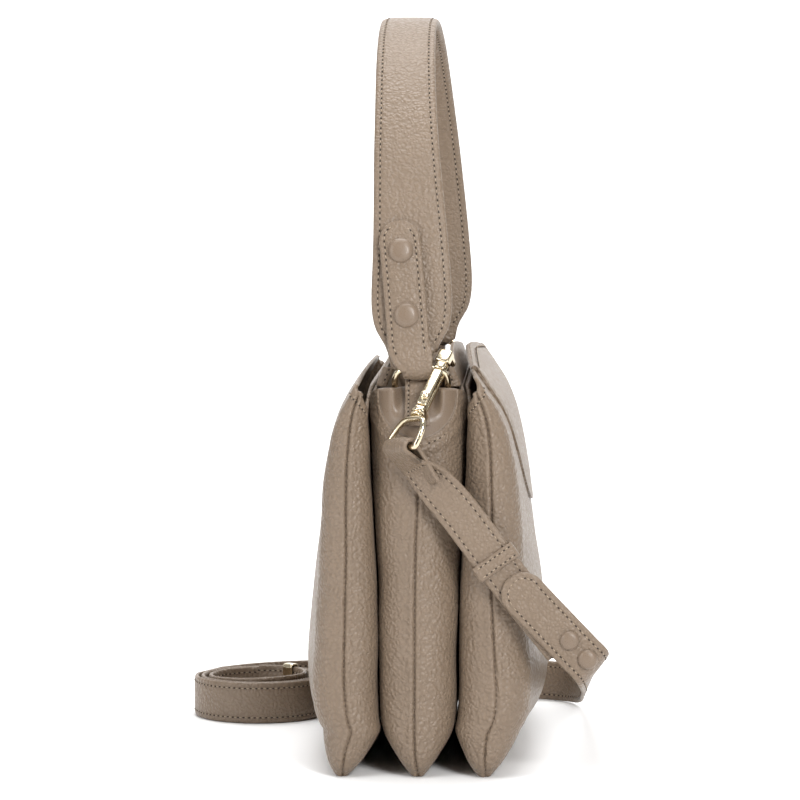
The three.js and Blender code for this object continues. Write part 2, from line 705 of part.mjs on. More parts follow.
// Snap caps: a low dome on a stem-less disc, facing along +Z before it is placed
function snapCap(diameter, height) {
  const r = diameter / 2;
  const profile = [[0, 0], [r * 0.94, 0], [r, height * 0.35], [r * 0.86, height * 0.75]];
  profile.push([r * 0.5, height * 0.95], [0, height]);
  return new THREE.LatheGeometry(profile.map(([x, y]) => new THREE.Vector2(x, y)), 10);
}
function placeDisc(name, geometry, at, facing, look) {
  const piece = addPiece(name, geometry, look);
  piece.position.copy(at);
  piece.quaternion.setFromUnitVectors(vector(0, 1, 0), facing.clone().normalize());
  return piece;
}
const SNAP_HEIGHTS = [["lower", SNAP_LOWER], ["upper", SNAP_UPPER]];
for (const [place, end] of [["near", -1], ["far", 1]]) {
  for (const [level, z] of SNAP_HEIGHTS) {
    const lean = (tabY(z + 1) - tabY(z - 1)) / 2;
    const facing = vector(0, end, -lean).normalize();
    const lift = STRAP_TAB_THICKNESS / 2 + STRAP_CROWN + GAP;
    const cap = vector(tabX(end, z), end * tabY(z), z).addScaledVector(facing, lift);
    placeDisc(`snap_${place}_${level}`, snapCap(SNAP_DIAMETER, SNAP_HEIGHT), cap, facing, LEATHER);
  }
}

// Swivel hook: its frame runs from the collar up the hook, across to the spine, and sideways
const NEAR_END = -BODY_LENGTH / 2;
const HOOK_BASE = vector(0.7, NEAR_END - HOOK_BASE_OUT, GUSSET_HEIGHT - HOOK_BASE_DROP);
const HOOK_HEAD = vector(13.1, NEAR_END + HOOK_HEAD_IN, GUSSET_HEIGHT + HOOK_HEAD_RISE);
const SPINE_SIDE = vector(0.173, 0.775, -0.61);
const hookUp = HOOK_HEAD.clone().sub(HOOK_BASE).normalize();
const hookDeep = SPINE_SIDE.clone().addScaledVector(hookUp, -SPINE_SIDE.dot(hookUp)).normalize();
const hookWide = vector(0, 0, 0).crossVectors(hookDeep, hookUp);
const hookFrame = new THREE.Matrix4().makeBasis(hookWide, hookDeep, hookUp).setPosition(HOOK_BASE);

// A block with its corners cut, centred in x and y, from z0 to z1
function block(width, depth, x, y, z0, z1, cut = 0.5) {
  const w = width / 2;
  const d = depth / 2;
  const outline = new THREE.Shape();
  outline.moveTo(-w + cut, -d);
  outline.lineTo(w - cut, -d);
  outline.lineTo(w, -d + cut);
  outline.lineTo(w, d - cut);
  outline.lineTo(w - cut, d);
  outline.lineTo(-w + cut, d);
  outline.lineTo(-w, d - cut);
  outline.lineTo(-w, -d + cut);
  outline.closePath();
  const solid = new THREE.ExtrudeGeometry(outline, { depth: z1 - z0, bevelEnabled: false });
  solid.translate(x, y, z0);
  return solid;
}
const post = (r, z0, z1, x = 0, y = 0, sides = 12) => {
  const round = new THREE.CylinderGeometry(r, r, z1 - z0, sides);
  round.rotateX(Math.PI / 2);
  round.translate(x, y, (z0 + z1) / 2);
  return round;
};
const GATE_FOOT = 4.2;
const FOOT_START = 0.6;
const COLLAR_LENGTH = 3;
const KNOB_DIAMETER = 5;
const KNOB_HEIGHT = 9.2;
const NOSE_START = HOOK_LENGTH - NOSE_LENGTH;
function hookBody() {
  const spine = block(
    SPINE_WIDTH, SPINE_THICKNESS, SPINE_OFFSET, HOOK_OPENING, FOOT_START, HOOK_LENGTH,
  );
  const deep = HOOK_OPENING + GATE_THICKNESS / 2 + SPINE_THICKNESS / 2;
  const middle = (HOOK_OPENING + SPINE_THICKNESS / 2 - GATE_THICKNESS / 2) / 2;
  const bridge = block(GATE_WIDTH + 1, deep, 0, middle, HOOK_LENGTH - BRIDGE_LENGTH, HOOK_LENGTH, 1);
  const head = block(GATE_WIDTH + 1, GATE_THICKNESS, 0, 0, HOOK_LENGTH - HEAD_LENGTH, HOOK_LENGTH, 0.8);
  const nose = block(GATE_WIDTH, GATE_THICKNESS, 0, 0, NOSE_START, HOOK_LENGTH - 1, 0.7);
  const foot = block(GATE_WIDTH - 0.4, deep, 0, middle, FOOT_START, GATE_FOOT - GAP, 0.8);
  const collar = post(COLLAR_DIAMETER / 2, FOOT_START + 0.3 - COLLAR_LENGTH, FOOT_START + 0.3, 0, 0.6);
  const parts = [bridge, head, nose, foot, collar].map((piece) => solidOf(piece));
  return parts.reduce((whole, piece) => whole.add(piece), solidOf(spine));
}
function hookGate() {
  const bar = block(GATE_WIDTH, GATE_THICKNESS, 0, 0, GATE_FOOT, NOSE_START - GAP, 0.7);
  const knob = new THREE.CylinderGeometry(KNOB_DIAMETER * 0.42, KNOB_DIAMETER / 2, 2, 12);
  knob.translate(0, -GATE_THICKNESS / 2 - 0.8, KNOB_HEIGHT);
  return solidOf(bar).add(solidOf(knob));
}
addPiece("hook_body", geometryOf(hookBody().transform(hookFrame.toArray())), METAL);
addPiece("hook_gate", geometryOf(hookGate().transform(hookFrame.toArray())), METAL);

// Swivel eye: a wire loop from a shank in the collar round the strap's fold
const EYE_BAR_MIDDLE = vector(-7.3, NEAR_END - EYE_OUT, GUSSET_HEIGHT - EYE_DROP);
const EYE_BAR_ALONG = vector(0.56, -0.82, 0.1).normalize();
const EYE_TOP = HOOK_BASE.clone()
  .addScaledVector(hookUp, FOOT_START + 0.3 - COLLAR_LENGTH - GAP - EYE_WIRE / 2);
function eyePath() {
  const points = [];
  const half = (EYE_WIDTH - EYE_WIRE) / 2;
  const rise = EYE_TOP.clone().sub(EYE_BAR_MIDDLE);
  const steps = 12;
  for (let k = 0; k <= steps; k++) {
    const turn = Math.PI * (k / steps);
    const across = Math.sign(Math.cos(turn)) * Math.abs(Math.cos(turn)) ** 0.5;
    const p = EYE_BAR_MIDDLE.clone().addScaledVector(EYE_BAR_ALONG, half * across);
    points.push(p.addScaledVector(rise, Math.sin(turn) ** 0.9));
  }
  for (const share of [-0.6, 0, 0.6]) {
    points.push(EYE_BAR_MIDDLE.clone().addScaledVector(EYE_BAR_ALONG, half * share));
  }
  return points;
}
const eyeNormal = vector(0, 0, 0).crossVectors(EYE_BAR_ALONG, EYE_TOP.clone().sub(EYE_BAR_MIDDLE));
addPiece("hook_eye", wire(eyePath(), EYE_WIRE, 8, true, eyeNormal.normalize()), METAL);

// Short crossbody strap: folded round the eye's bar, then down in front of the right pouch
// Each row's y and z are measured from the middle of the eye's bar
const SHORT_ROWS = [
  { along: 0, x: -3.2, y: 2, z: -7.8 },
  { along: 0.12, x: 1.8, y: 4.2, z: -11.6 },
  { along: 0.25, x: 8.6, y: 6, z: -18.2 },
  { along: 0.42, x: 19.7, y: 7.8, z: -31.3 },
  { along: 0.66, x: 35.3, y: 9, z: -52.2 },
  { along: 0.8, x: 44.6, y: 9.4, z: -64.6 },
  { along: 1, x: 70.5, y: 9.6, z: -96.7 },
];
const SHORT_ROUTE = SHORT_ROWS.map(({ along, x, y, z }) => (
  { along, x, y: EYE_BAR_MIDDLE.y + y, z: EYE_BAR_MIDDLE.z + z }
));
const SHORT_ACROSS_END = vector(0.761, 0, 0.649);
const foldDown = vector(0.649, 0, -0.761);
foldDown.addScaledVector(EYE_BAR_ALONG, -foldDown.dot(EYE_BAR_ALONG)).normalize();
const foldBack = vector(0, 0, 0).crossVectors(EYE_BAR_ALONG, foldDown);
const CROSS_FOLD = EYE_WIRE / 2 + 2 * GAP + CROSS_THICKNESS / 2;
const routePoint = (rows, t) => vector(
  readTable(rows, "along", "x", t), readTable(rows, "along", "y", t), readTable(rows, "along", "z", t),
);
function shortStrap() {
  const stations = [];
  const add = (at, across, half = CROSS_WIDTH / 2) => {
    stations.push({ at, across, half, thick: CROSS_THICKNESS });
  };
  const foldPoint = (turn) => EYE_BAR_MIDDLE.clone()
    .addScaledVector(foldBack, CROSS_FOLD * Math.cos(turn))
    .addScaledVector(foldDown, -CROSS_FOLD * Math.sin(turn));
  for (let k = 5; k >= 1; k--) {
    const back = foldPoint(0).addScaledVector(foldDown, TAIL_LENGTH * (k / 5));
    add(back.addScaledVector(foldBack, -TAIL_LEAN * (k / 5)), EYE_BAR_ALONG);
  }
  for (let k = 0; k <= 8; k++) add(foldPoint(Math.PI * (k / 8)), EYE_BAR_ALONG);
  const steps = 22;
  for (let k = 0; k <= steps; k++) {
    const t = k / steps;
    const across = EYE_BAR_ALONG.clone().lerp(SHORT_ACROSS_END, smooth((t + 0.12) / 0.6));
    add(routePoint(SHORT_ROUTE, t), across);
  }
  return strap(stations);
}
addPiece("strap_short", shortStrap(), LEATHER);

// Long crossbody strap: a round tip on the short one, back beside the bag, behind it, and coiled
// Hanging rows are measured from the bend, beside rows by share of the half length and of the
// bend's height above the floor, and floor rows from the far end
const LONG_Y = NEAR_END - LONG_OUT;
const BEND_Z = GUSSET_HEIGHT - BEND_DROP;
const FLOOR_Z = LONG_WIDTH / 2;
const HANGING_ROWS = [
  { x: 44.2, y: 0, z: 45.8, tilt: 46 },
  { x: 50, y: 0, z: 39.2, tilt: 46 },
  { x: 57, y: 0, z: 31.7, tilt: 46 },
  { x: 68, y: 0.1, z: 20.2, tilt: 46 },
  { x: 78, y: 0.2, z: 9.8, tilt: 46 },
  { x: 82, y: 1, z: 5.7, tilt: 47 },
  { x: 84, y: 4.6, z: 2.6, tilt: 49 },
  { x: 84.6, y: 12.2, z: 0, tilt: 51 },
];
const BESIDE_ROWS = [
  { x: 84.8, length: -0.8, rise: 0.9188, tilt: 54 },
  { x: 84.8, length: -0.48, rise: 0.7658, tilt: 60 },
  { x: 84.6, length: -0.08, rise: 0.5699, tilt: 68 },
  { x: 83.4, length: 0.32, rise: 0.3644, tilt: 76 },
  { x: 82, length: 0.68, rise: 0.1637, tilt: 84 },
  { x: 79, length: 0.904, rise: 0.0442, tilt: 89 },
];
const FLOOR_ROWS = [
  { x: 72, past: 4, lift: 0.15 },
  { x: 58, past: 12, lift: 0 },
  { x: 30, past: 14, lift: 0 },
  { x: -10, past: 14, lift: 0 },
  { x: -45, past: 12, lift: 0 },
  { x: -72, past: 6.5, lift: 0 },
  { x: -96, past: -4, lift: 0 },
  { x: -113.5, past: -19.5, lift: 0 },
];
const LONG_ROUTE = [
  ...HANGING_ROWS.map(({ x, y, z, tilt }) => ({ x, y: LONG_Y + y, z: BEND_Z + z, tilt })),
  ...BESIDE_ROWS.map(({ x, length, rise, tilt }) => (
    { x, y: -NEAR_END * length, z: FLOOR_Z + (BEND_Z - FLOOR_Z) * rise, tilt }
  )),
  ...FLOOR_ROWS.map(({ x, past, lift }) => ({ x, y: -NEAR_END + past, z: FLOOR_Z + lift, tilt: 90 })),
];
const COIL_Y = -NEAR_END - COIL_FROM_FAR_END;
const COIL_START = Math.PI * 0.94;
function coilRadius(turned) {
  const slack = COIL_INNER_SLACK * smooth((turned - COIL_TURNS + 1) / 0.6);
  return COIL_RADIUS - COIL_PITCH * turned - slack;
}
const coilLift = (turned) => (SLIDER_THICKNESS + 2 * GAP) * smooth((turned - COIL_TURNS + 0.8) / 0.4);
function coilStation(turned) {
  const turn = COIL_START + 2 * Math.PI * turned;
  const r = coilRadius(turned);
  const x = COIL_X + r * Math.cos(turn);
  const y = COIL_Y + r * Math.sin(turn);
  return vector(x, y, LONG_WIDTH / 2 + coilLift(turned));
}
function longStrap() {
  const middle = new THREE.CatmullRomCurve3(LONG_ROUTE.map((p) => vector(p.x, p.y, p.z)));
  const stations = [];
  const perSpan = 2;
  const spans = LONG_ROUTE.length - 1;
  for (let k = 0; k <= spans * perSpan; k++) {
    const i = Math.min(Math.floor(k / perSpan), spans - 1);
    const t = k / perSpan - i;
    const tilt = THREE.MathUtils.degToRad(LONG_ROUTE[i].tilt * (1 - t) + LONG_ROUTE[i + 1].tilt * t);
    const at = middle.getPoint(k / (spans * perSpan));
    const half = roundTip(LONG_WIDTH / 2, at.distanceTo(middle.getPoint(0)) + 0.6);
    const across = vector(Math.cos(tilt), 0, Math.sin(tilt));
    stations.push({ at, across, half, thick: LONG_THICKNESS });
  }
  const coilSteps = 50;
  for (let k = 0; k <= coilSteps; k++) {
    const at = coilStation(COIL_TURNS * (k / coilSteps));
    stations.push({ at, across: vector(0, 0, 1), half: LONG_WIDTH / 2, thick: LONG_THICKNESS });
  }
  return strap(stations);
}
addPiece("strap_long", longStrap(), LEATHER);

// A loop round a strap: a rectangular ring swept along the strap's direction
function strapLoop(width, thickness, inWidth, inThickness) {
  const outline = new THREE.Shape();
  const hole = new THREE.Path();
  const rectangle = (path, w, t) => {
    path.moveTo(-w, -t);
    path.lineTo(w, -t);
    path.lineTo(w, t);
    path.lineTo(-w, t);
    path.closePath();
  };
  rectangle(outline, inWidth / 2 + thickness, inThickness / 2 + thickness);
  rectangle(hole, inWidth / 2, inThickness / 2);
  outline.holes.push(hole);
  const loop = new THREE.ExtrudeGeometry(outline, { depth: width, bevelEnabled: false });
  loop.translate(0, 0, -width / 2);
  return loop;
}
function placeLoop(name, geometry, at, along, across, look) {
  const out = vector(0, 0, 0).crossVectors(along, across).normalize();
  const piece = addPiece(name, geometry, look);
  piece.quaternion.setFromRotationMatrix(new THREE.Matrix4().makeBasis(across, out, along));
  piece.position.copy(at);
}
const KEEPER_AT = 0.7;
const keeperSeat = routePoint(SHORT_ROUTE, KEEPER_AT);
const keeperAlong = routePoint(SHORT_ROUTE, KEEPER_AT + 0.02).sub(keeperSeat).normalize();
const keeperAcross = SHORT_ACROSS_END.clone();
keeperAcross.addScaledVector(keeperAlong, -keeperAcross.dot(keeperAlong)).normalize();
const keeperLoop = strapLoop(
  KEEPER_WIDTH, KEEPER_THICKNESS, CROSS_WIDTH + 2 * GAP, CROSS_THICKNESS + 4 * GAP,
);
placeLoop("keeper", keeperLoop, keeperSeat, keeperAlong, keeperAcross, LEATHER);

const SLIDER_AT = COIL_TURNS - 0.13;
const sliderAlong = coilStation(SLIDER_AT + 0.01).sub(coilStation(SLIDER_AT - 0.01)).normalize();
const sliderLoop = strapLoop(
  SLIDER_WIDTH, SLIDER_THICKNESS, LONG_WIDTH + 2 * GAP, LONG_THICKNESS + 4 * GAP,
);
placeLoop("slider", sliderLoop, coilStation(SLIDER_AT), sliderAlong, vector(0, 0, 1), METAL);

// Snaps that join the two crossbody straps, by share of the run between two rows of the route
const CROSS_SNAPS = [["cross_snap_inner", 0.5], ["cross_snap_outer", 1.36]];
const CROSS_SNAP_RAISE = 1.2;
const [snapFrom, snapTo] = [LONG_ROUTE[3], LONG_ROUTE[4]];
for (const [name, share] of CROSS_SNAPS) {
  const x = snapFrom.x + (snapTo.x - snapFrom.x) * share;
  const y = snapFrom.y - LONG_THICKNESS / 2 - 2 * GAP;
  const z = snapFrom.z + (snapTo.z - snapFrom.z) * share + CROSS_SNAP_RAISE;
  const cap = snapCap(CROSS_SNAP_DIAMETER, SNAP_HEIGHT * 0.8);
  placeDisc(name, cap, vector(x, y, z), vector(0, -1, 0), LEATHER);
}

export default bag;
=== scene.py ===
# %% [markdown]
# # A three-pouch leather bag
# The bag stands on the floor and is seen from its narrow end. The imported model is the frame: it
# fixes where each piece sits. Every soft piece is modelled again here with the folds, seams, hems
# and stitches of real leather, and the small metal pieces are modelled again with smooth faces.
# Lengths in this file are millimetres, as on a pattern maker's sheet, and `MM` turns them into metres.

import json
import math

import bpy
import numpy as np
from mathutils import Matrix, Vector

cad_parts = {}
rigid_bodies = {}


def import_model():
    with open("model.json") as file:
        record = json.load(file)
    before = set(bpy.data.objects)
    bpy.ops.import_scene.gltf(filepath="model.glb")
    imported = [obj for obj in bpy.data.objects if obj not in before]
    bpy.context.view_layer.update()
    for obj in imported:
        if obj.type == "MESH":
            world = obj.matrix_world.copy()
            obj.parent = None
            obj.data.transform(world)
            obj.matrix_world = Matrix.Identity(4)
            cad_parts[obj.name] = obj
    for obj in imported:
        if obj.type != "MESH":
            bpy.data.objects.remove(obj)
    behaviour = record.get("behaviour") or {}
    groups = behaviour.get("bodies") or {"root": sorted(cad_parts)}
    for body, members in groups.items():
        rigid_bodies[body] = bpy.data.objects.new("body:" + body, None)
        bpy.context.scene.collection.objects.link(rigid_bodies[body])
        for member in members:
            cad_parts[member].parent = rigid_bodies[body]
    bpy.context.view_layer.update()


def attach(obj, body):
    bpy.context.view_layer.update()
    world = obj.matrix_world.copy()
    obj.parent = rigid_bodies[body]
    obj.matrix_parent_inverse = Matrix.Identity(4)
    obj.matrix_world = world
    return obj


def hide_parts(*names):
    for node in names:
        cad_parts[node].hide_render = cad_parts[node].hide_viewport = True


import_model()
MM = 0.001

# %% [markdown]
# ## Camera
# The photograph was taken with a long lens from about two metres away, a little above the bag and
# a little to its right. A long lens keeps the three pouches nearly the same size, and the small
# turn to the left lets the right side of the bag show.

# %% Camera
VIEW_FROM = Vector((59.5, -1945, 310)) * MM
VIEW_TURN = math.radians(2.13)
VIEW_TILT = math.radians(-4.0)
FOCAL_PIXELS, PICTURE_PIXELS, SENSOR_WIDTH = 3822, 800, 36
camera_data = bpy.data.cameras.new("bag_camera")
camera_data.sensor_width = SENSOR_WIDTH
camera_data.lens = FOCAL_PIXELS / PICTURE_PIXELS * SENSOR_WIDTH
camera_data.clip_end = 50
camera = bpy.data.objects.new("bag_camera", camera_data)
camera.location = VIEW_FROM
camera.rotation_euler = (math.radians(90) + VIEW_TILT, 0, VIEW_TURN)
bpy.context.scene.collection.objects.link(camera)
bpy.context.scene.camera = camera
print("lens:", round(camera_data.lens, 1), "mm")

# %% [markdown]
# ## Floor and light
# The floor is one pale sheet that curves up behind the bag, as paper does in a photo studio, so no
# horizon shows. A large soft light stands at the right in front, a weaker one at the left, and one
# hangs above. One more light whitens the paper behind. A black card behind the camera keeps the
# front from going flat: the pebbles show their relief, and the metal has something dark to mirror.

# %% Clear the selection
def select_only(*pieces):
    for other in bpy.context.scene.objects:
        other.select_set(False)
    for piece in pieces:
        piece.select_set(True)
    bpy.context.view_layer.objects.active = pieces[0] if pieces else None


def added(name):
    piece = bpy.context.active_object
    piece.name = name
    piece.data.name = name
    return piece


# %% Studio floor
SWEEP_START, SWEEP_RADIUS, SWEEP_END = 4.6, 0.9, 6.0
select_only()
bpy.ops.mesh.primitive_grid_add(x_subdivisions=2, y_subdivisions=60, size=2)
studio_floor = added("studio_floor")
for corner in studio_floor.data.vertices:
    run = (corner.co.y + 1) * 4.0
    turn = min(max((run - SWEEP_START) / (SWEEP_END - SWEEP_START), 0), 1) * math.pi / 2
    corner.co = Vector((
        corner.co.x * 6,
        -3 + min(run, SWEEP_START) + SWEEP_RADIUS * math.sin(turn),
        -0.0002 + SWEEP_RADIUS * (1 - math.cos(turn)) + max(run - SWEEP_END, 0) * 2,
    ))
bpy.ops.object.shade_smooth()
print("floor faces:", len(studio_floor.data.polygons))


# %% Floor paper and black felt
def feed(node, inputs):
    """Links each input that is given a socket, and sets each one that is given a plain value."""
    for key, value in inputs.items():
        if isinstance(value, bpy.types.NodeSocket):
            node.id_data.links.new(value, node.inputs[key])
        else:
            node.inputs[key].default_value = value


def new_finish(name, inputs):
    """A material, its node tree and its shader, with the shader's plain values set."""
    finish = bpy.data.materials.new(name)
    finish.use_nodes = True
    shader = finish.node_tree.nodes["Principled BSDF"]
    feed(shader, inputs)
    return finish, finish.node_tree, shader


paper, _, _ = new_finish("studio_paper", {
    "Base Color": (0.9, 0.9, 0.9, 1), "Roughness": 0.9, "Specular IOR Level": 0.1,
})
studio_floor.data.materials.append(paper)
felt, _, _ = new_finish("black_felt", {"Base Color": (0.01, 0.01, 0.01, 1), "Roughness": 1})
print("stage finishes:", paper.name, felt.name)

# %% Lights, each with its place and aim in metres, its size and its watts
LIGHTS = {
    "key_light": ((0.75, -1.7, 0.95), (0, 0, 0.16), (0.5, 1.0), 33),
    "fill_light": ((-1.3, -1.1, 0.7), (0, 0, 0.16), (0.5, 1.2), 11),
    "top_light": ((0, -0.1, 1.5), (0, 0, 0.1), (1.0, 1.2), 16),
    "backdrop_light": ((0, 0.9, 2.4), (0, 2.6, 0.7), (3.0, 0.6), 80),
}
for name, (place, aim, size, watts) in LIGHTS.items():
    data = bpy.data.lights.new(name, "AREA")
    data.shape = "RECTANGLE"
    data.size, data.size_y = size
    data.energy = watts
    light = bpy.data.objects.new(name, data)
    light.location = place
    light.rotation_euler = (Vector(aim) - Vector(place)).to_track_quat("-Z", "Y").to_euler()
    bpy.context.scene.collection.objects.link(light)
world = bpy.data.worlds.new("studio_air")
world.use_nodes = True
feed(world.node_tree.nodes["Background"], {"Color": (1, 1, 1, 1), "Strength": 0.36})
bpy.context.scene.world = world
bpy.context.scene.view_settings.view_transform = "Standard"
print("lights:", list(LIGHTS))

# %% Black card, which the camera doesn't see
select_only()
bpy.ops.mesh.primitive_plane_add(size=1)
black_card = added("black_card")
card_size = Matrix.Diagonal((1.7, 1.5, 1, 1))
upright = Matrix.Rotation(math.pi / 2, 4, "X")
black_card.data.transform(Matrix.Translation((0.05, -2.5, 0.5)) @ upright @ card_size)
black_card.data.materials.append(felt)
black_card.visible_camera = False
print("card corners:", len(black_card.data.vertices))

# %% [markdown]
# ## Leather worker's tools
# A few helpers are used by every piece. A sheet of leather is a primitive grid whose vertices are
# each laid on a curved form, the way leather is laid on a last. A table gives a size at some
# heights, and the helper reads it smoothly in between. Wires are curves with a round section.

# %% Smooth steps and tables
def smooth(t):
    s = np.clip(t, 0, 1)
    return s * s * (3 - 2 * s)


def read_table(rows, column, at):
    keys = np.array([row[0] for row in rows], float)
    values = np.array([row[column] for row in rows], float)
    slopes = np.empty_like(values)
    slopes[1:-1] = (values[2:] - values[:-2]) / (keys[2:] - keys[:-2])
    slopes[0] = (values[1] - values[0]) / (keys[1] - keys[0])
    slopes[-1] = (values[-1] - values[-2]) / (keys[-1] - keys[-2])
    at = np.clip(np.asarray(at, float), keys[0], keys[-1])
    i = np.clip(np.searchsorted(keys, at, side="right") - 1, 0, len(keys) - 2)
    step = keys[i + 1] - keys[i]
    t = (at - keys[i]) / step
    ends = (1 + 2 * t) * (1 - t) ** 2 * values[i] + t * t * (3 - 2 * t) * values[i + 1]
    return ends + step * (t * (1 - t) ** 2 * slopes[i] + t * t * (t - 1) * slopes[i + 1])


def points(x, y, z):
    """Rows of points, from arrays or single numbers."""
    return np.stack(np.broadcast_arrays(x, y, z), axis=-1).astype(float)


def unit(vectors):
    return vectors / np.linalg.norm(vectors, axis=-1, keepdims=True)


def square_to(vectors, along):
    """The part of each vector that is square to its direction, made one long."""
    return unit(vectors - along * (vectors * along).sum(-1, keepdims=True))


print("half of a smooth step:", float(smooth(0.5)))


# %% A grid laid on a form
def lay_grid(name, columns, rows, form, joined=False, closed_ends=False):
    """form(u, v) takes arrays of shares across and along, and returns points in millimetres."""
    select_only()
    bpy.ops.mesh.primitive_grid_add(x_subdivisions=columns, y_subdivisions=rows, size=2)
    piece = added(name)
    flat = np.empty(len(piece.data.vertices) * 3)
    piece.data.vertices.foreach_get("co", flat)
    flat = flat.reshape(-1, 3)
    u = np.round((flat[:, 0] + 1) / 2 * columns) / columns
    v = np.round((flat[:, 1] + 1) / 2 * rows) / rows
    piece.data.vertices.foreach_set("co", (points(*form(u, v)) * MM).ravel())
    piece.data.update()
    bpy.ops.object.mode_set(mode="EDIT")
    bpy.ops.mesh.select_all(action="SELECT")
    if joined:
        bpy.ops.mesh.remove_doubles(threshold=1e-6)
    if closed_ends:
        bpy.ops.mesh.select_all(action="DESELECT")
        bpy.ops.mesh.select_non_manifold()
        bpy.ops.mesh.edge_face_add()
        bpy.ops.mesh.select_all(action="SELECT")
    bpy.ops.mesh.normals_make_consistent(inside=False)
    bpy.ops.object.mode_set(mode="OBJECT")
    bpy.ops.object.shade_smooth()
    return piece


def grid_place(u, v, columns, rows):
    """Whole columns and rows of shares, on a grid whose last column meets its first."""
    return np.round(u * columns).astype(int) % columns, np.round(v * rows).astype(int)


def apply_modifier(piece, kind, **settings):
    select_only(piece)
    modifier = piece.modifiers.new(kind.lower(), kind)
    for key, value in settings.items():
        setattr(modifier, key, value)
    bpy.ops.object.modifier_apply(modifier=modifier.name)


def hand_over(piece, finish, slot, *nodes, body="bag"):
    """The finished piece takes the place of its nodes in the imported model."""
    piece.data.materials.append(finish)
    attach(piece, body)
    if nodes:
        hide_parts(*nodes)
    print(piece.name, len(piece.data.polygons), "faces for", ", ".join(nodes) or "extra detail")


# %% Points along a path
def path_length(path):
    return float(np.linalg.norm(np.diff(path, axis=0), axis=1).sum())


def path_steps(path, pitch):
    """Even steps along a path: places and directions."""
    lengths = np.r_[0, np.cumsum(np.linalg.norm(np.diff(path, axis=0), axis=1))]
    count = max(int(round(lengths[-1] / pitch)), 2)
    at = (np.arange(count) + 0.5) / count * lengths[-1]

    def place(shift):
        return points(*(np.interp(at + shift, lengths, path[:, k]) for k in range(3)))

    return place(0), unit(place(pitch * 0.3) - place(-pitch * 0.3))


print("steps of 3 in 30 mm:", len(path_steps(points([0, 30], 0, 0), 3.0)[0]))


# %% [markdown]
# ## Stitches
# A saddle stitch shows as a short pale thread that dives into a hole at each end. One thread is a
# small capsule and one hole is a flat dark dot, painted shade for the shadow inside the hole. Both
# are modelled once and copied along each seam, with only a few dozen faces each, because there are thousands
# of them.

# %% One thread and one hole
select_only()
bpy.ops.mesh.primitive_uv_sphere_add(segments=6, ring_count=5, radius=0.5)
thread_model = added("thread_model")
bpy.ops.mesh.primitive_uv_sphere_add(segments=6, ring_count=3, radius=0.5)
hole_shade_model = added("hole_shade_model")


def mesh_arrays(piece):
    corners = np.array([v.co for v in piece.data.vertices])
    faces = [tuple(p.vertices) for p in piece.data.polygons]
    return corners, faces


THREAD = mesh_arrays(thread_model)
HOLE_SHADE = mesh_arrays(hole_shade_model)
for model in (thread_model, hole_shade_model):
    bpy.data.objects.remove(model)
print("faces a thread:", len(THREAD[1]), "faces a hole:", len(HOLE_SHADE[1]))

STITCHES = {"thread": [], "hole": []}


def sew(path, normals, pitch=3.0, thread=(1.7, 0.55, 0.46), hole=(1.4, 0.95, 0.62)):
    """Lays threads and holes along a path on a surface with the given normals."""
    places, along = path_steps(path, pitch)
    nearest = [np.argmin(((path - p) ** 2).sum(1)) for p in places]
    out = square_to(np.broadcast_to(normals, path.shape)[nearest], along)
    side = np.cross(out, along)
    for p, a, s, o in zip(places, along, side, out):
        STITCHES["thread"].append((p + o * 0.02, a * thread[0], s * thread[1], o * thread[2]))
    # Each hole is a flat dark dot: painted shade for the shadow inside the hole.
    for p, a, s, o in zip(places + along * pitch / 2, along, side, out):
        STITCHES["hole"].append((p - o * 0.1, a * hole[0], s * hole[1], o * hole[2]))
    return len(places)


def join_copies(name, model, frames):
    corners, faces = model
    laid = [p + corners[:, :1] * a + corners[:, 1:2] * s + corners[:, 2:] * o for p, a, s, o in frames]
    count = len(corners)
    copies = [tuple(i + k * count for i in face) for k in range(len(frames)) for face in faces]
    mesh = bpy.data.meshes.new(name)
    mesh.from_pydata((np.concatenate(laid) * MM).tolist(), [], copies)
    piece = bpy.data.objects.new(name, mesh)
    bpy.context.scene.collection.objects.link(piece)
    select_only(piece)
    bpy.ops.object.shade_smooth()
    return piece


# %% [markdown]
# ## Leather and metal
# The bag's cowhide is embossed with small soft pebbles a little under two millimetres across. On a
# real hide they are irregular, so a Voronoi pattern is bent by noise before it is turned into bump.
# The valleys between pebbles are duller than their tops, and painted a little darker: painted shade.
# The same recipe, with other numbers, gives the smoother leather of the patches and the straps' tighter
# grain.

# %% Nodes that the finishes share
def add_node(tree, kind, inputs, **settings):
    made = tree.nodes.new("ShaderNode" + kind)
    for key, value in settings.items():
        setattr(made, key, value)
    feed(made, inputs)
    return made


def object_place(tree):
    return tree.nodes.new("ShaderNodeTexCoord").outputs["Object"]


def noise(tree, place, scale, detail=2):
    return add_node(tree, "TexNoise", {"Vector": place, "Scale": scale, "Detail": detail}).outputs


def mix(tree, factor, a, b, blend="MIX"):
    made = add_node(tree, "Mix", {"Factor": factor, "A": a, "B": b}, data_type="RGBA", blend_type=blend)
    return made.outputs["Result"]


def scaled_sum(tree, value, scale, plus):
    made = add_node(tree, "Math", {0: value, 1: scale, 2: plus}, operation="MULTIPLY_ADD")
    return made.outputs["Value"]


def remap(tree, value, low, high, start=0, end=1):
    inputs = {"Value": value, "From Min": start, "From Max": end, "To Min": low, "To Max": high}
    return add_node(tree, "MapRange", inputs).outputs["Result"]


def bump(tree, height, relief_mm, **under):
    inputs = {"Strength": 1, "Distance": relief_mm * MM, "Height": height, **under}
    return add_node(tree, "Bump", inputs).outputs["Normal"]


print("shader helpers ready")


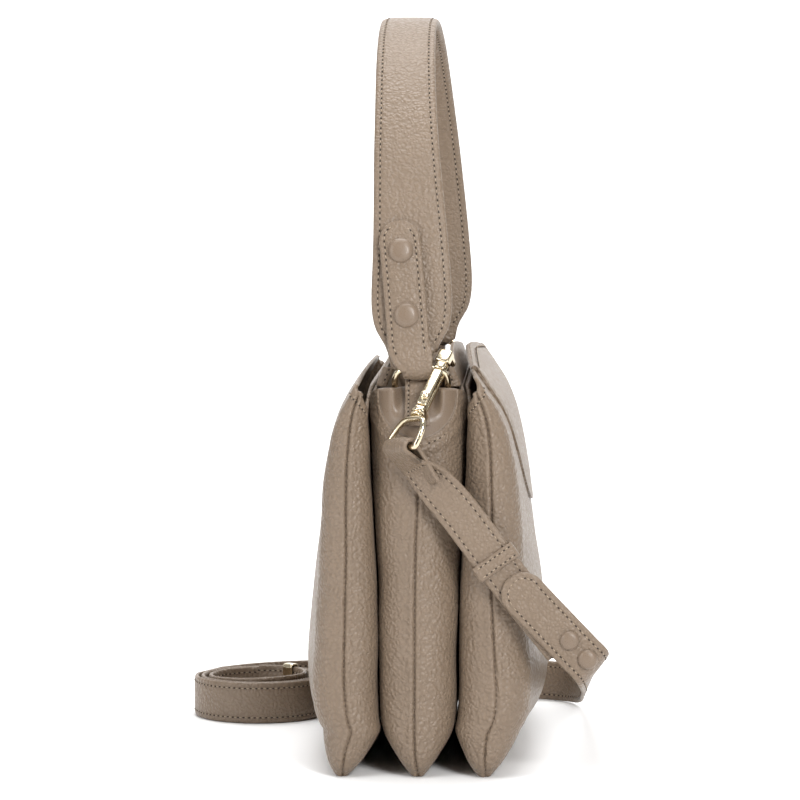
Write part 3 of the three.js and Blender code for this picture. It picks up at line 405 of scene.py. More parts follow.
# %% Leather recipe
def leather(name, tint, dark, pebble_mm, relief_mm, roughness, wrinkle_mm, wrinkle_size=14):
    finish, tree, shader = new_finish(name, {
        "Specular IOR Level": 0.4, "Sheen Weight": 0.02, "Sheen Roughness": 0.6,
    })
    place = object_place(tree)
    bend = noise(tree, place, 1000 / (pebble_mm * 3))["Color"]
    bent = mix(tree, 0.00085 * pebble_mm, place, bend, "LINEAR_LIGHT")
    cells = add_node(
        tree, "TexVoronoi", {"Vector": bent, "Scale": 1000 / pebble_mm, "Smoothness": 0.35},
        feature="SMOOTH_F1",
    )
    pebble_top = remap(tree, cells.outputs["Distance"], 1, 0, 0.2, 0.75)
    patches = noise(tree, place, 22, 3)["Fac"]
    # Colour: random patches of tone, plus painted shade that darkens the pebble valleys and lightens their
    # tops.
    patch_tone_and_valley_shade = scaled_sum(tree, patches, 0.42, scaled_sum(tree, pebble_top, 0.3, 0.32))
    pebbles = bump(tree, pebble_top, relief_mm)
    wrinkles = bump(tree, noise(tree, place, 1000 / wrinkle_size, 5)["Fac"], wrinkle_mm, Normal=pebbles)
    feed(shader, {
        "Base Color": mix(tree, patch_tone_and_valley_shade, (*dark, 1), (*tint, 1)),
        "Roughness": remap(tree, pebble_top, roughness + 0.1, roughness - 0.08),
        "Normal": bump(tree, noise(tree, place, 4200)["Fac"], 0.012, Normal=wrinkles),
    })
    return finish


TAUPE = (0.2, 0.146, 0.102)
TAUPE_DARK = (0.128, 0.092, 0.062)
SMOOTH_TAUPE = (0.186, 0.136, 0.096)
SMOOTH_DARK = (0.146, 0.106, 0.075)
pebbled_leather = leather("pebbled_leather", TAUPE, TAUPE_DARK, 1.9, 0.41, 0.4, 0.5)
strap_leather = leather("strap_leather", TAUPE, TAUPE_DARK, 1.6, 0.3, 0.41, 0.2, 8)
smooth_leather = leather("smooth_leather", SMOOTH_TAUPE, SMOOTH_DARK, 0.7, 0.03, 0.32, 0.12, 20)
print("leathers:", [m.name for m in (pebbled_leather, strap_leather, smooth_leather)])


# %% Thread, holes and painted edges
def plain_finish(name, colour, roughness, grain_size=2, grain_mm=0.0):
    finish, tree, shader = new_finish(name, {"Roughness": roughness})
    speckle = noise(tree, object_place(tree), 1000 / grain_size, 3)["Fac"]
    low, high = ((*[share * c for c in colour], 1) for share in (0.8, 1.2))
    feed(shader, {"Base Color": mix(tree, speckle, low, high)})
    if grain_mm:
        feed(shader, {"Normal": bump(tree, speckle, grain_mm)})
    return finish


pale_thread = plain_finish("pale_thread", (0.32, 0.25, 0.18), 0.7, 0.4, 0.05)
brown_thread = plain_finish("brown_thread", (0.1, 0.07, 0.048), 0.7, 0.4, 0.05)
# Near-black colour of the stitch holes: painted shade for the shadow inside each hole.
stitch_hole_shade = plain_finish("stitch_hole_shade", (0.034, 0.023, 0.016), 0.9)
painted_edge = plain_finish("painted_edge", (0.17, 0.129, 0.096), 0.4, 3, 0.04)
print("threads and edges ready")


# %% [markdown]
# Plated zinc fittings are polished before the pale gold goes on, so they mirror the studio. Their
# colour is even, and only fine wear and faint waves in the polish break up the reflections.

# %% Pale gold
pale_gold, tree, shader = new_finish("pale_gold", {"Metallic": 1})
place = object_place(tree)
wear = noise(tree, place, 900, 4)["Fac"]
feed(shader, {
    "Base Color": mix(tree, wear, (0.66, 0.55, 0.38, 1), (0.77, 0.68, 0.5, 1)),
    "Roughness": remap(tree, wear, 0.1, 0.22),
    "Normal": bump(tree, noise(tree, place, 260)["Fac"], 0.06),
})
print("metal:", pale_gold.name)

# %% [markdown]
# ## The three pouches
# Each pouch is one folded hide panel, sewn shut down the middle of its rounded ends. Seen from the
# end it is a leaf: a narrow ridge at the floor, full at hip height, and drawn in at the mouth.
# Tables give its half-thickness by height, and a grid is laid round that outline from the floor to
# the rim. The sewn seam pulls the leather into a crease, so the grid is laid with its columns close
# together there and pushed in along the seam line.

# %% Outline of the pouches
BODY_LENGTH, BODY_HEIGHT, GUSSET_HEIGHT = 250, 203, 187.6
CENTRE_HALF, OUTER_HALF, BULGE = 23, 16.9, 7.5
BOTTOM_FLAT_HALF, TAPER_HEIGHT, BOTTOM_CORNER = 3, 22, 10
POUCH_GAP, WALL, GAP = 0.7, 1.8, 0.3
ENDS = (("near", -1), ("far", 1))
FULLNESS = {-1: 0.93, 1: 1.05}
TIP_LEAN = {-1: 5, 1: -1.5}
CENTRE_PROFILE = [
    (0, 0.13), (0.05, 0.435), (0.108, 0.74), (0.187, 0.81), (0.36, 0.826), (0.517, 0.87),
    (0.69, 0.957), (0.8, 1), (0.877, 1), (0.921, 0.93), (0.96, 0.8), (1, 0.66),
]
OUTER_PROFILE = [
    (0, 0.178, 0.05), (0.045, 0.56, 0.3), (0.108, 0.89, 0.7), (0.187, 1, 0.95), (0.36, 0.95, 1),
    (0.517, 0.87, 0.68), (0.69, 0.73, 0.3), (0.8, 0.58, 0.25), (0.867, 0.41, 0.35),
    (0.916, 0.28, 0.32), (0.96, 0.21, 0.14), (1, 0.15, 0.04),
]


def centre_half_at(z):
    half = CENTRE_HALF * read_table(CENTRE_PROFILE, 1, z / BODY_HEIGHT)
    return np.where(z < TAPER_HEIGHT, np.maximum(half, BOTTOM_FLAT_HALF), half)


def half_length_at(z):
    drop = np.maximum(0, 1 - z / BOTTOM_CORNER)
    return BODY_LENGTH / 2 - BOTTOM_CORNER * (1 - np.sqrt(np.maximum(1 - drop * drop, 0)))


def outer_section(z, side):
    fullness = FULLNESS[side]
    full = np.where(z > TAPER_HEIGHT, fullness, 1 + (fullness - 1) * (z / TAPER_HEIGHT))
    seat = np.maximum(z, TAPER_HEIGHT)
    clear = POUCH_GAP * (1 + smooth((z / BODY_HEIGHT - 0.78) / 0.1))
    half = OUTER_HALF * read_table(OUTER_PROFILE, 1, z / BODY_HEIGHT) * full
    seat_half = OUTER_HALF * read_table(OUTER_PROFILE, 1, seat / BODY_HEIGHT) * fullness
    middle = centre_half_at(seat) + clear + seat_half
    middle = middle + TIP_LEAN[side] * np.maximum(1 - z / TAPER_HEIGHT, 0)
    half = np.where(z < TAPER_HEIGHT, np.maximum(half, BOTTOM_FLAT_HALF), half)
    swell = BULGE * full * read_table(OUTER_PROFILE, 2, z / BODY_HEIGHT)
    return middle, half, swell


print("centre pouch at half height:", round(float(centre_half_at(np.array(100.0))), 1), "mm half")


# %% Columns round a pouch
def outline_columns(end_steps, outer_steps, inner_steps):
    """Columns as (part, share): 0 near end, 1 outer side, 2 far end, 3 inner side."""
    even = np.linspace(-1, 1, end_steps + 1)
    bunched = 0.5 + 0.5 * np.sign(even) * np.abs(even) ** 1.6
    side = lambda steps: np.arange(1, steps) / steps
    parts = [np.zeros(end_steps + 1), np.ones(outer_steps - 1)]
    parts += [2 * np.ones(end_steps + 1), 3 * np.ones(inner_steps - 1)]
    shares = [bunched, side(outer_steps), bunched, side(inner_steps)]
    return np.concatenate(parts), np.concatenate(shares)


def outline_point(part, share, h, l, swell):
    """Place on the outline and the direction out of it, for a half-thickness and half-length."""
    straight = l - h
    turn = -np.pi / 2 + np.pi * share
    run = -straight + 2 * straight * share
    swollen = swell * (1 - (run / straight) ** 2)
    sine, cosine = np.sin(turn), np.cos(turn)
    near, outer, far = part == 0, part == 1, part == 2
    x = np.select([near, outer, far], [h * sine, h + swollen, -h * sine], -h)
    y = np.select([near, outer, far], [-straight - h * cosine, run, straight + h * cosine], -run)
    out_x = np.select([near, outer, far], [sine, 1.0, -sine], -1)
    out_y = np.select([near, far], [-cosine, cosine], 0)
    return x, y, out_x, out_y


print("columns round an end and its sides:", len(outline_columns(40, 50, 30)[0]))


# %% Seam crease and soft dents
def seam_crease(distance):
    """How far the surface stands out at a distance from the seam line."""
    line = -1.25 * np.exp(-(distance / 0.55) ** 2)
    lip = 0.55 * np.exp(-((np.abs(distance) - 1.9) / 1.3) ** 2)
    return line + lip


def soft_dents(x, y, z, seed):
    """Low waves in the hide, a few tenths of a millimetre deep."""
    waves = np.zeros_like(x)
    for k in range(6):
        angle = seed * 1.7 + k * 2.4
        length = 34 + 17 * ((k * 7 + seed * 3) % 5)
        phase = seed * 2.1 + k * 1.3
        direction = (x * math.cos(angle) + y * math.sin(angle)) * 0.8 + z * math.sin(angle * 1.9)
        waves += np.sin(2 * np.pi * direction / length + phase)
    return waves * 0.16


# Small sideways wander of the seam lines, by height
SEAM_WANDER = {
    -1: [(0, 0.6), (12, -0.8), (26, 0.6), (52, 0), (75, -0.3), (110, 0.2), (150, 0), (186, 0)],
    0: [(0, 0.6), (14, -1.2), (57, -1.3), (110, -0.9), (140, 0.6), (160, 0.8), (186, 0.8)],
    1: [(0, 1.2), (12, -0.3), (34, 1.0), (52, 0.4), (90, -0.6), (140, -0.3), (165, 0.6), (186, 0)],
}


def seam_wander(side, part, z):
    return read_table(SEAM_WANDER[side], 1, z) * np.where(part == 2, -1, 1) * (side or 1)


print("seams:", len(SEAM_WANDER) * 2)

# %% Outer pouches
SEAM_TOP, HEM_DIP, RIM_CORNER_RISE, PANEL_CORNER_RUN = 186, 8.5, 0.75, 36
LEFT_RIM_HEIGHT, RIM_END_DROP = 191.5, 7.3
FOOT_ROUND, FOOT_ROWS, SEAM_ROW = 0.7, 5, 50


def hill_height(y):
    return BODY_HEIGHT - RIM_END_DROP * (np.abs(y) / (BODY_LENGTH / 2)) ** 1.5


def panel_height(side, y):
    return np.full_like(np.asarray(y, float), LEFT_RIM_HEIGHT) if side < 0 else hill_height(y)


def outer_top(side, part, share):
    """Rim height of an outer pouch: tall on the outer side, dipped at the ends, low inside."""
    toward_outer = np.where(part == 2, 1 - share, share)
    end_low = SEAM_TOP - HEM_DIP * (1 - 2 * np.minimum(toward_outer, 0.5))
    corner = (panel_height(side, np.array(BODY_LENGTH / 2)) - SEAM_TOP) * RIM_CORNER_RISE
    end_high = SEAM_TOP + corner * (2 * np.maximum(toward_outer, 0.5) - 1)
    at_end = np.where(toward_outer <= 0.5, end_low, end_high)
    from_end = smooth(np.minimum(share, 1 - share) * BODY_LENGTH / PANEL_CORNER_RUN)
    tall = panel_height(side, BODY_LENGTH * (np.maximum(share, 1 - share) - 0.5)) - SEAM_TOP
    panel = SEAM_TOP + tall * (RIM_CORNER_RISE + (1 - RIM_CORNER_RISE) * from_end)
    inner = SEAM_TOP - HEM_DIP + (GUSSET_HEIGHT - SEAM_TOP + HEM_DIP) * from_end
    return np.select([part == 1, part == 3], [panel, inner], at_end)


def at_foot(row, half, z):
    """Half-thickness and height, where the first rows round the ridge at the floor."""
    turn = np.pi / 2 * np.minimum(row / FOOT_ROWS, 1)
    rounded_z = np.where(row < FOOT_ROWS, FOOT_ROUND * (1 - np.cos(turn)), z)
    return np.maximum(half * np.sin(turn), 0.02), rounded_z


def outer_skin(side, part, share, z, row):
    """Point of the outer pouch's leather, in millimetres, with its dents and seam crease."""
    middle, half, swell = outer_section(z, side)
    h, rounded_z = at_foot(row, half, z)
    x, y, out_x, out_y = outline_point(part, share, h, half_length_at(z), swell)
    distance = (share - 0.5) * np.pi * h - seam_wander(side, part, z)
    at_end = (part == 0) | (part == 2)
    sewn = np.where(at_end, seam_crease(distance), 0) * smooth(h / 3) * smooth((SEAM_TOP + 1 - z) / 3)
    dents = soft_dents(x + side * 40, y, z, 2 + side) * smooth(z / 20) * smooth((194 - z) / 20)
    drop = outer_top(side, part, share) - z
    hem = 0.35 * smooth((5.2 - drop) / 1.2) * np.where(part == 1, 0, 1)
    lift = sewn + dents * np.where(part == 3, 0.3, 1) + hem
    return side * (middle + x + out_x * lift), y + out_y * lift, rounded_z


def build_pouch(name, columns, rows, form, node):
    pouch = lay_grid(name, columns, rows, form, joined=True)
    apply_modifier(pouch, "SOLIDIFY", thickness=WALL * MM, offset=-1)
    hand_over(pouch, pebbled_leather, "pebbled_leather", node)


def build_outer_pouch(name, side, node):
    part, share = outline_columns(44, 56, 56)
    columns, rows = len(part), 96

    def form(u, v):
        c, r = grid_place(u, v, columns, rows)
        p, s = part[c], share[c]
        rise = np.clip((r - FOOT_ROWS) / (rows - FOOT_ROWS), 0, 1) ** 0.94
        return outer_skin(side, p, s, FOOT_ROUND + (outer_top(side, p, s) - FOOT_ROUND) * rise, r)

    build_pouch(name, columns, rows, form, node)


build_outer_pouch("leather_pouch_left", -1, "pouch_left")
build_outer_pouch("leather_pouch_right", 1, "pouch_right")


# %% [markdown]
# The middle pouch has a fold at the top of each end, where the leather sinks in behind the ring,
# and a half-moon window cut in the pebbled hide. Smooth leather shows in the window, and the cut
# edge stands a little proud of it.

# %% Middle pouch
GROOVE_DEPTH, GROOVE_HALF, GROOVE_HEIGHT, GUSSET_CORNER_DROP = 10, 10.5, 16, 4
MOON_HALF, MOON_DEPTH, MOON_STRAIGHT = 17.8, 20.5, 2
MOON_TOP = GUSSET_HEIGHT - GUSSET_CORNER_DROP * 0.6


def groove_at(x, z):
    across = 1 - smooth((np.abs(x) - GROOVE_HALF * 0.7) / (GROOVE_HALF * 0.5))
    return GROOVE_DEPTH * across * smooth((z - (GUSSET_HEIGHT - GROOVE_HEIGHT)) / GROOVE_HEIGHT)


def centre_end_y(x, z):
    h = centre_half_at(z)
    across = np.minimum(np.abs(x), h)
    return half_length_at(z) - h + np.sqrt(np.maximum(h * h - across * across, 0)) - groove_at(x, z)


def moon_distance(x, z):
    """Distance outside the half-moon's edge, negative inside it."""
    below = np.maximum(MOON_TOP - MOON_STRAIGHT - z, 0) / (MOON_DEPTH - MOON_STRAIGHT)
    return (np.sqrt((x / MOON_HALF) ** 2 + below ** 2) - 1) * MOON_HALF


def moon_border(x, z):
    d = moon_distance(x, z)
    window = -1.5 + 2.4 * smooth((d + 0.1) / 0.7)
    return np.where(d > 1.2, 0.9 * smooth((9.5 - d) / 4), window)


def centre_top(part, share):
    at_end = (part == 0) | (part == 2)
    drop = GUSSET_CORNER_DROP * np.abs(2 * share - 1) ** 6
    return GUSSET_HEIGHT - np.where(at_end, drop, 0)


def centre_skin(part, share, z, row):
    h, rounded_z = at_foot(row, centre_half_at(z), z)
    x, y, out_x, out_y = outline_point(part, share, h, half_length_at(z), 0)
    at_end = (part == 0) | (part == 2)
    y = np.where(at_end, np.sign(y) * (np.abs(y) - groove_at(x, z)), y)
    distance = (share - 0.5) * np.pi * h - seam_wander(0, part, z)
    sewn = np.where(at_end, seam_crease(distance), 0) * smooth(h / 3) * smooth((163 - z) / 3)
    dents = soft_dents(x, y, z, 5) * smooth(z / 20) * smooth((150 - z) / 20)
    border = np.where(at_end, moon_border(x, z), 0) * smooth((z - 150) / 6)
    lift = sewn + dents * np.where(at_end, 1, 0.3) + border
    return x + out_x * lift, y + out_y * lift, rounded_z


def build_centre_pouch():
    part, share = outline_columns(120, 34, 34)
    even = np.linspace(-1, 1, 121)
    bunched = 0.5 + 0.5 * np.sign(even) * np.abs(even) ** 1.2
    for end in (0, 2):
        share[part == end] = bunched
    columns, rows, low_rows, low_top = len(part), 120, 62, 156

    def form(u, v):
        c, r = grid_place(u, v, columns, rows)
        p, s = part[c], share[c]
        low = FOOT_ROUND + (low_top - FOOT_ROUND) * np.clip((r - FOOT_ROWS) / (low_rows - FOOT_ROWS), 0, 1)
        high = low_top + (centre_top(p, s) - low_top) * np.clip((r - low_rows) / (rows - low_rows), 0, 1)
        return centre_skin(p, s, np.where(r <= low_rows, low, high), r)

    build_pouch("leather_pouch_centre", columns, rows, form, "pouch_centre")


build_centre_pouch()


# %% Half-moon patches and their cut edge
def build_patch(name, end, node):
    def form(u, v):
        x = (MOON_HALF + 0.9) * (2 * u - 1)
        reach = np.sqrt(np.maximum(1 - (x / (MOON_HALF + 0.91)) ** 2, 0))
        low = MOON_TOP - MOON_STRAIGHT - (MOON_DEPTH - MOON_STRAIGHT + 0.9) * reach
        top = GUSSET_HEIGHT - GUSSET_CORNER_DROP * (np.abs(x) / CENTRE_HALF) ** 6 + 0.35
        z = low + (top - low) * v
        curl = 1.3 * smooth((v - 0.93) / 0.07)
        return x, end * (centre_end_y(x, z) - 0.25 - curl), z

    patch = lay_grid(name, 64, 40, form)
    apply_modifier(patch, "SOLIDIFY", thickness=0.6 * MM, offset=-end)
    hand_over(patch, smooth_leather, "smooth_leather", node)


build_patch("smooth_patch_near", -1, "gusset_patch_near")
build_patch("smooth_patch_far", 1, "gusset_patch_far")


# %% Wires and the window's stitches
def wire_along(name, path, diameter, closed=False, sides=3):
    """A round wire: a curve with a bevel, turned into a mesh."""
    select_only()
    curve = bpy.data.curves.new(name, "CURVE")
    curve.dimensions = "3D"
    curve.bevel_depth = diameter / 2 * MM
    curve.bevel_resolution = sides
    curve.use_fill_caps = not closed
    line = curve.splines.new("POLY")
    line.points.add(len(path) - 1)
    for spot, point in zip(line.points, path):
        spot.co = (*(float(c) * MM for c in point), 1)
    line.use_cyclic_u = closed
    piece = bpy.data.objects.new(name, curve)
    bpy.context.scene.collection.objects.link(piece)
    select_only(piece)
    bpy.ops.object.convert(target="MESH")
    bpy.ops.object.shade_smooth()
    piece = bpy.context.active_object
    piece.name = name
    return piece


def moon_line(outside, top_cut=0.0):
    """The half-moon's edge, at a distance outside it, with straight tops."""
    turn = np.linspace(0, math.pi, 60)
    x = -(MOON_HALF + outside) * np.cos(turn)
    z = MOON_TOP - MOON_STRAIGHT - (MOON_DEPTH - MOON_STRAIGHT + outside) * np.sin(turn)
    rise = np.linspace(1.6 - top_cut, 0.2, 4)
    x = np.r_[np.full(4, x[0]), x, np.full(4, x[-1])]
    z = np.r_[MOON_TOP - MOON_STRAIGHT + rise, z, MOON_TOP - MOON_STRAIGHT + rise[::-1]]
    return x, z


def end_normals(x, z, end):
    e = 0.4
    slope_x = (centre_end_y(x + e, z) - centre_end_y(x - e, z)) / (2 * e)
    slope_z = (centre_end_y(x, z + e) - centre_end_y(x, z - e)) / (2 * e)
    return unit(points(-slope_x, end, -slope_z))


for place, end in ENDS:
    x, z = moon_line(0.25)
    cut_edge = wire_along(f"cut_edge_{place}", points(x, end * (centre_end_y(x, z) + 0.15), z), 0.9)
    hand_over(cut_edge, painted_edge, "pebbled_leather")
    x, z = moon_line(3.4, top_cut=1)
    seat = points(x, end * (centre_end_y(x, z) + 0.92), z)
    print("window stitches:", sew(seat, end_normals(x, z, end)))

# %% Seam stitches in the creases
STITCHES["seam"] = []


def sew_crease(x, y, z):
    places, along = path_steps(points(x, y, z), 2.7)
    out = square_to(np.sign(places) * (0, 1, 0), along)
    for p, a, s, o in zip(places, along, np.cross(out, along), out):
        STITCHES["seam"].append((p, a * 2.0, s * 0.6, o * 0.55))


for part, end in ((0, -1), (2, 1)):
    z = np.linspace(3, 185, 120)
    for side in (-1, 1):
        share = 0.5 + seam_wander(side, part, z) / (np.pi * outer_section(z, side)[1])
        x, y, skin_z = outer_skin(side, np.full_like(z, part), share, z, SEAM_ROW)
        sew_crease(x, y + end * 0.3, skin_z)
    z = z[z < 162]
    share = 0.5 + seam_wander(0, part, z) / (np.pi * centre_half_at(z))
    x, y, skin_z = centre_skin(np.full_like(z, part), share, z, SEAM_ROW)
    sew_crease(x, y + end * 0.3, skin_z)
print("seam stitches:", len(STITCHES["seam"]))

# %% [markdown]
# ## Straps
# A leather strap is two strips sewn back to back along both edges. The edge is rounded and
# painted, the stitch line bites in a little, and between the lines the strap swells, most of all
# on the padded shoulder strap. One helper sweeps such a section along a row of stations, each with
# its place, the direction across the strap, the half-width and the thickness.

# %% Strap section
def across_steps(steps):
    s = np.linspace(-1, 1, steps + 1)
    return np.sign(s) * (1 - (1 - np.abs(s)) ** 1.6)


def strap_relief(s, half, thick, crown, inset, bite):
    """Half-thickness of a strap at a share s of its half-width."""
    x = np.abs(s) * half
    flat = thick / 2 * (1 - np.abs(s) ** 14) ** 0.5
    swell = crown * np.clip(1 - (x / np.maximum(half - inset * 0.6, 0.5)) ** 4, 0, 1)
    line = bite * np.exp(-((x - (half - inset)) / 0.75) ** 2)
    return np.maximum(flat + swell - line, 0.0)


def station_frames(at, across):
    """Directions across the strap and out of its face, at each station."""
    along = unit(np.gradient(at, axis=0))
    across = square_to(np.asarray(across, float), along)
    return across, np.cross(along, across)


def lay_strap(name, at, across, half, thick, crown=0.25, inset=3.0, bite=0.28, steps=22):
    half, thick = (np.broadcast_to(size, len(at)) for size in (half, thick))
    across, out = station_frames(at, across)
    up = across_steps(steps)
    s_loop = np.r_[up[:-1], up[::-1][:-1]]
    face = np.r_[np.ones(steps), -np.ones(steps)]
    columns, rows = 2 * steps, len(at) - 1

    def form(u, v):
        c, r = grid_place(u, v, columns, rows)
        lift = strap_relief(s_loop[c], half[r], thick[r], crown, inset, bite) * face[c]
        return (at[r] + across[r] * (s_loop[c] * half[r])[:, None] + out[r] * lift[:, None]).T

    return lay_grid(name, columns, rows, form, joined=True, closed_ends=True)


def sew_strap(at, across, half, thick, inset=3.0, lift=0.0, pitch=3.0):
    """Rows of stitches along a strap, inset from each edge, on each face."""
    half, thick = (np.broadcast_to(size, len(at)) for size in (half, thick))
    across, out = station_frames(at, across)
    count = 0
    for face in (1, -1):
        for edge in (1, -1):
            line = at + across * (edge * (half - inset))[:, None] + out * (face * (thick / 2 + lift))[:, None]
            count += sew(line, out * face, pitch=pitch)
    return count


print("steps across a strap:", len(across_steps(22)))

# %% [markdown]
# The shoulder strap is wide and padded. Each end narrows to a neck, passes through its D-ring, and
# folds back up as a long tab that two snaps hold against the strap, so it can be taken off.

# %% Shoulder strap route
RING_WIRE, RING_WIDTH, RING_HEIGHT, RING_OFFSET, RING_LEAN, RING_SQUARENESS = 3, 28.6, 15.4, 1.7, 9.8, 0.5
RING_BAR_Y = BODY_LENGTH / 2 - GROOVE_DEPTH - 4.6
RING_BAR_Z = GUSSET_HEIGHT - 4
STRAP_TOP, STRAP_HALF, STRAP_THICK, STRAP_CROWN = 368.4, 19.4, 4, 0.6
TAB_HALF, FOLD_HALF, TAB_TOP, TAB_THICK = 10, 7.2, 268, 2.6
STRAP_PROFILE = [
    (0, 0.57), (0.035, 0.65), (0.065, 0.79), (0.095, 0.92), (0.14, 0.99), (0.185, 1), (0.24, 0.98),
    (0.29, 0.955), (0.42, 0.895), (0.56, 0.835), (0.75, 0.77), (1, 0.732),
]
STRAP_LEAN = [
    (0, -0.13), (0.1, -0.18), (0.22, -0.33), (0.36, -0.41), (0.5, -0.37), (0.66, -0.2), (0.8, 0),
    (0.92, 0.12), (1, 0.1),
]
RING_TOP_Y = RING_BAR_Y + RING_LEAN
RING_TOP_Z = RING_BAR_Z + RING_HEIGHT - RING_WIRE / 2
FOLD_RADIUS = RING_WIRE / 2 + GAP + 0.8 + TAB_THICK / 2
LEG_Y = RING_TOP_Y - FOLD_RADIUS + 0.6
NECK_Z = RING_TOP_Z + 4
ARCH_RISE = STRAP_TOP - STRAP_THICK / 2 - STRAP_CROWN - NECK_Z
TAB_LIFT = STRAP_THICK / 2 + 2 * STRAP_CROWN + 2 * GAP + TAB_THICK / 2
FOLD_X = RING_OFFSET - 1.5


def lean_at(along):
    return STRAP_HALF * read_table(STRAP_LEAN, 1, along)


def leg_y(z):
    rise = np.clip((z - NECK_Z) / ARCH_RISE, 0, 1)
    return LEG_Y * np.sqrt(1 - rise * rise)


def tab_y(z):
    low = RING_TOP_Y + FOLD_RADIUS
    return low + (leg_y(z) + TAB_LIFT - low) * smooth((z - RING_TOP_Z) / 14)


def tab_x(end, z):
    share = np.maximum((z - RING_TOP_Z) / (TAB_TOP - RING_TOP_Z), 0)
    lean = -TAB_HALF * (0.12 + 0.6 * share ** 1.3)
    free = lean_at(0 if end < 0 else 1) + lean * (1 if end < 0 else 0.3)
    return FOLD_X + (free - FOLD_X) * smooth((z - RING_TOP_Z + 2) / 14)


def tab_rows(end, rows):
    share = np.linspace(0, 1, rows + 1)
    z = TAB_TOP + (RING_TOP_Z - TAB_TOP) * share ** 1.5
    wide = FOLD_HALF + (TAB_HALF - FOLD_HALF) * smooth((z - RING_TOP_Z + 2) / 9)
    r = np.clip((TAB_TOP - z) / wide, 0, 1)
    half = wide * np.sqrt(np.maximum(1 - (1 - r) ** 2, 0.003))
    turn = np.pi * np.arange(1, 14) / 14
    fold_y, fold_z = RING_TOP_Y + FOLD_RADIUS * np.cos(turn), RING_TOP_Z - FOLD_RADIUS * np.sin(turn)
    rows_at = np.r_[points(tab_x(end, z), end * tab_y(z), z), points(FOLD_X, end * fold_y, fold_z)]
    return rows_at, np.r_[half, np.full(13, FOLD_HALF)]


near_at, near_half = tab_rows(-1, 48)
far_at, far_half = tab_rows(1, 48)
turn = np.linspace(0, math.pi, 150)
rise = np.sin(turn)
arch_at = points(lean_at(turn / math.pi), -LEG_Y * np.cos(turn), NECK_Z + ARCH_RISE * rise)
arch_half = STRAP_HALF * read_table(STRAP_PROFILE, 1, rise)
arch_thick = TAB_THICK + (STRAP_THICK - TAB_THICK) * smooth(rise / 0.08)
near_neck = points([FOLD_X], -(RING_TOP_Y - FOLD_RADIUS), RING_TOP_Z)
strap_at = np.concatenate([near_at, near_neck, arch_at, near_neck * (1, -1, 1), far_at[::-1]])
strap_half = np.concatenate([near_half, [FOLD_HALF], arch_half, [FOLD_HALF], far_half[::-1]])
tab_thick = np.full(len(near_at) + 1, TAB_THICK)
strap_thick = np.concatenate([tab_thick, arch_thick, tab_thick])
ACROSS_BAG = (1.0, 0, 0)
print("shoulder strap:", round(path_length(strap_at)), "mm long")

# %% Shoulder strap
shoulder_strap = lay_strap(
    "padded_shoulder_strap", strap_at, ACROSS_BAG, strap_half, strap_thick,
    crown=0.55, inset=3.2, bite=0.4, steps=28,
)
hand_over(shoulder_strap, strap_leather, "strap_leather", "shoulder_strap")

# %% Shoulder strap stitches
keep = rise > 0.03
print("arch stitches:", sew_strap(
    arch_at[keep], ACROSS_BAG, arch_half[keep], arch_thick[keep], inset=3.2, lift=0.1,
))


def tab_out(end, z):
    """Direction out of a tab's face at a height."""
    return unit(points(0, end, (tab_y(z - 1) - tab_y(z + 1)) / 2))


def tab_line(end, inset):
    """The line of stitches round a tab, up one side, over its round tip and down the other."""
    radius = TAB_HALF - inset
    low = np.linspace(RING_TOP_Z + 7, TAB_TOP - TAB_HALF, 30)
    turn = np.linspace(0, math.pi, 16)
    a = np.r_[np.full(30, radius), radius * np.cos(turn), np.full(30, -radius)]
    z = np.r_[low, TAB_TOP - TAB_HALF + radius * np.sin(turn), low[::-1]]
    out = tab_out(end, z)
    return points(tab_x(end, z) + a, end * tab_y(z), z) + out * (TAB_THICK / 2 + 0.12), out


for _, end in ENDS:
    line, out = tab_line(end, 2.6)
    print("tab stitches:", sew(line, out))

# %% [markdown]
# The snaps are metal caps pressed over with smooth leather, so each one is a low dome with a soft
# rim that sinks a little into the strap.

# %% Snaps
TAB_SNAP, CROSS_SNAP = (12.2, 2.7), (9.4, 2.2)  # width and height
TAB_SNAP_LEVELS = (("lower", 223), ("upper", 253.5))


def snap_dome(name, diameter, height, at, facing, node):
    select_only()
    bpy.ops.mesh.primitive_uv_sphere_add(segments=48, ring_count=24, radius=diameter / 2 * MM)
    cap = added(name)
    for corner in cap.data.vertices:
        reach = min(math.hypot(corner.co.x, corner.co.y) / (diameter / 2 * MM), 1)
        top = height * (1 - reach ** 5) ** 0.55 * (0.8 + 0.2 * (1 - reach ** 2))
        corner.co.z = (top if corner.co.z > 0 else -0.3) * MM
    turn = Vector((0, 0, 1)).rotation_difference(Vector(facing)).to_matrix().to_4x4()
    cap.data.transform(Matrix.Translation(Vector(at) * MM) @ turn)
    bpy.ops.object.shade_smooth()
    hand_over(cap, smooth_leather, "smooth_leather", node)


for place, end in ENDS:
    for level, z in TAB_SNAP_LEVELS:
        facing = tab_out(end, z)
        seat = points(tab_x(end, z), end * tab_y(z), z) + facing * (TAB_THICK / 2 + 0.35)
        snap_dome(f"snap_cap_{place}_{level}", *TAB_SNAP, seat, facing, f"snap_{place}_{level}")

# %% [markdown]
# ## Flap, bands and ring tabs
# A curved flap of the same hide lies over the outside of the right pouch, with a turned hem along
# its edge. Bands of doubled leather stand above the middle pouch's side walls, and their ends turn
# inward and are stitched down. A narrow tab is folded round each ring's bar and sewn in the groove.
# Each is a sheet laid on the surface below it, given its thickness, and softened at its cut edges.

# %% Front flap
FLAP_DROP, FLAP_HALF_LENGTH, FLAP_THICK, FLAP_LIFT, FLAP_BELOW_RIM = 78, 101, 1.4, 0.45, 0.5
FLAP_FACE = FLAP_LIFT + FLAP_THICK


def right_face(y, z):
    middle, half, swell = outer_section(z, 1)
    straight = half_length_at(z) - half
    past = np.maximum(0, np.abs(y) - straight)
    swollen = swell * np.maximum(0, 1 - (y / straight) ** 2)
    return middle + np.sqrt(np.maximum(half * half - past * past, 0)) + swollen


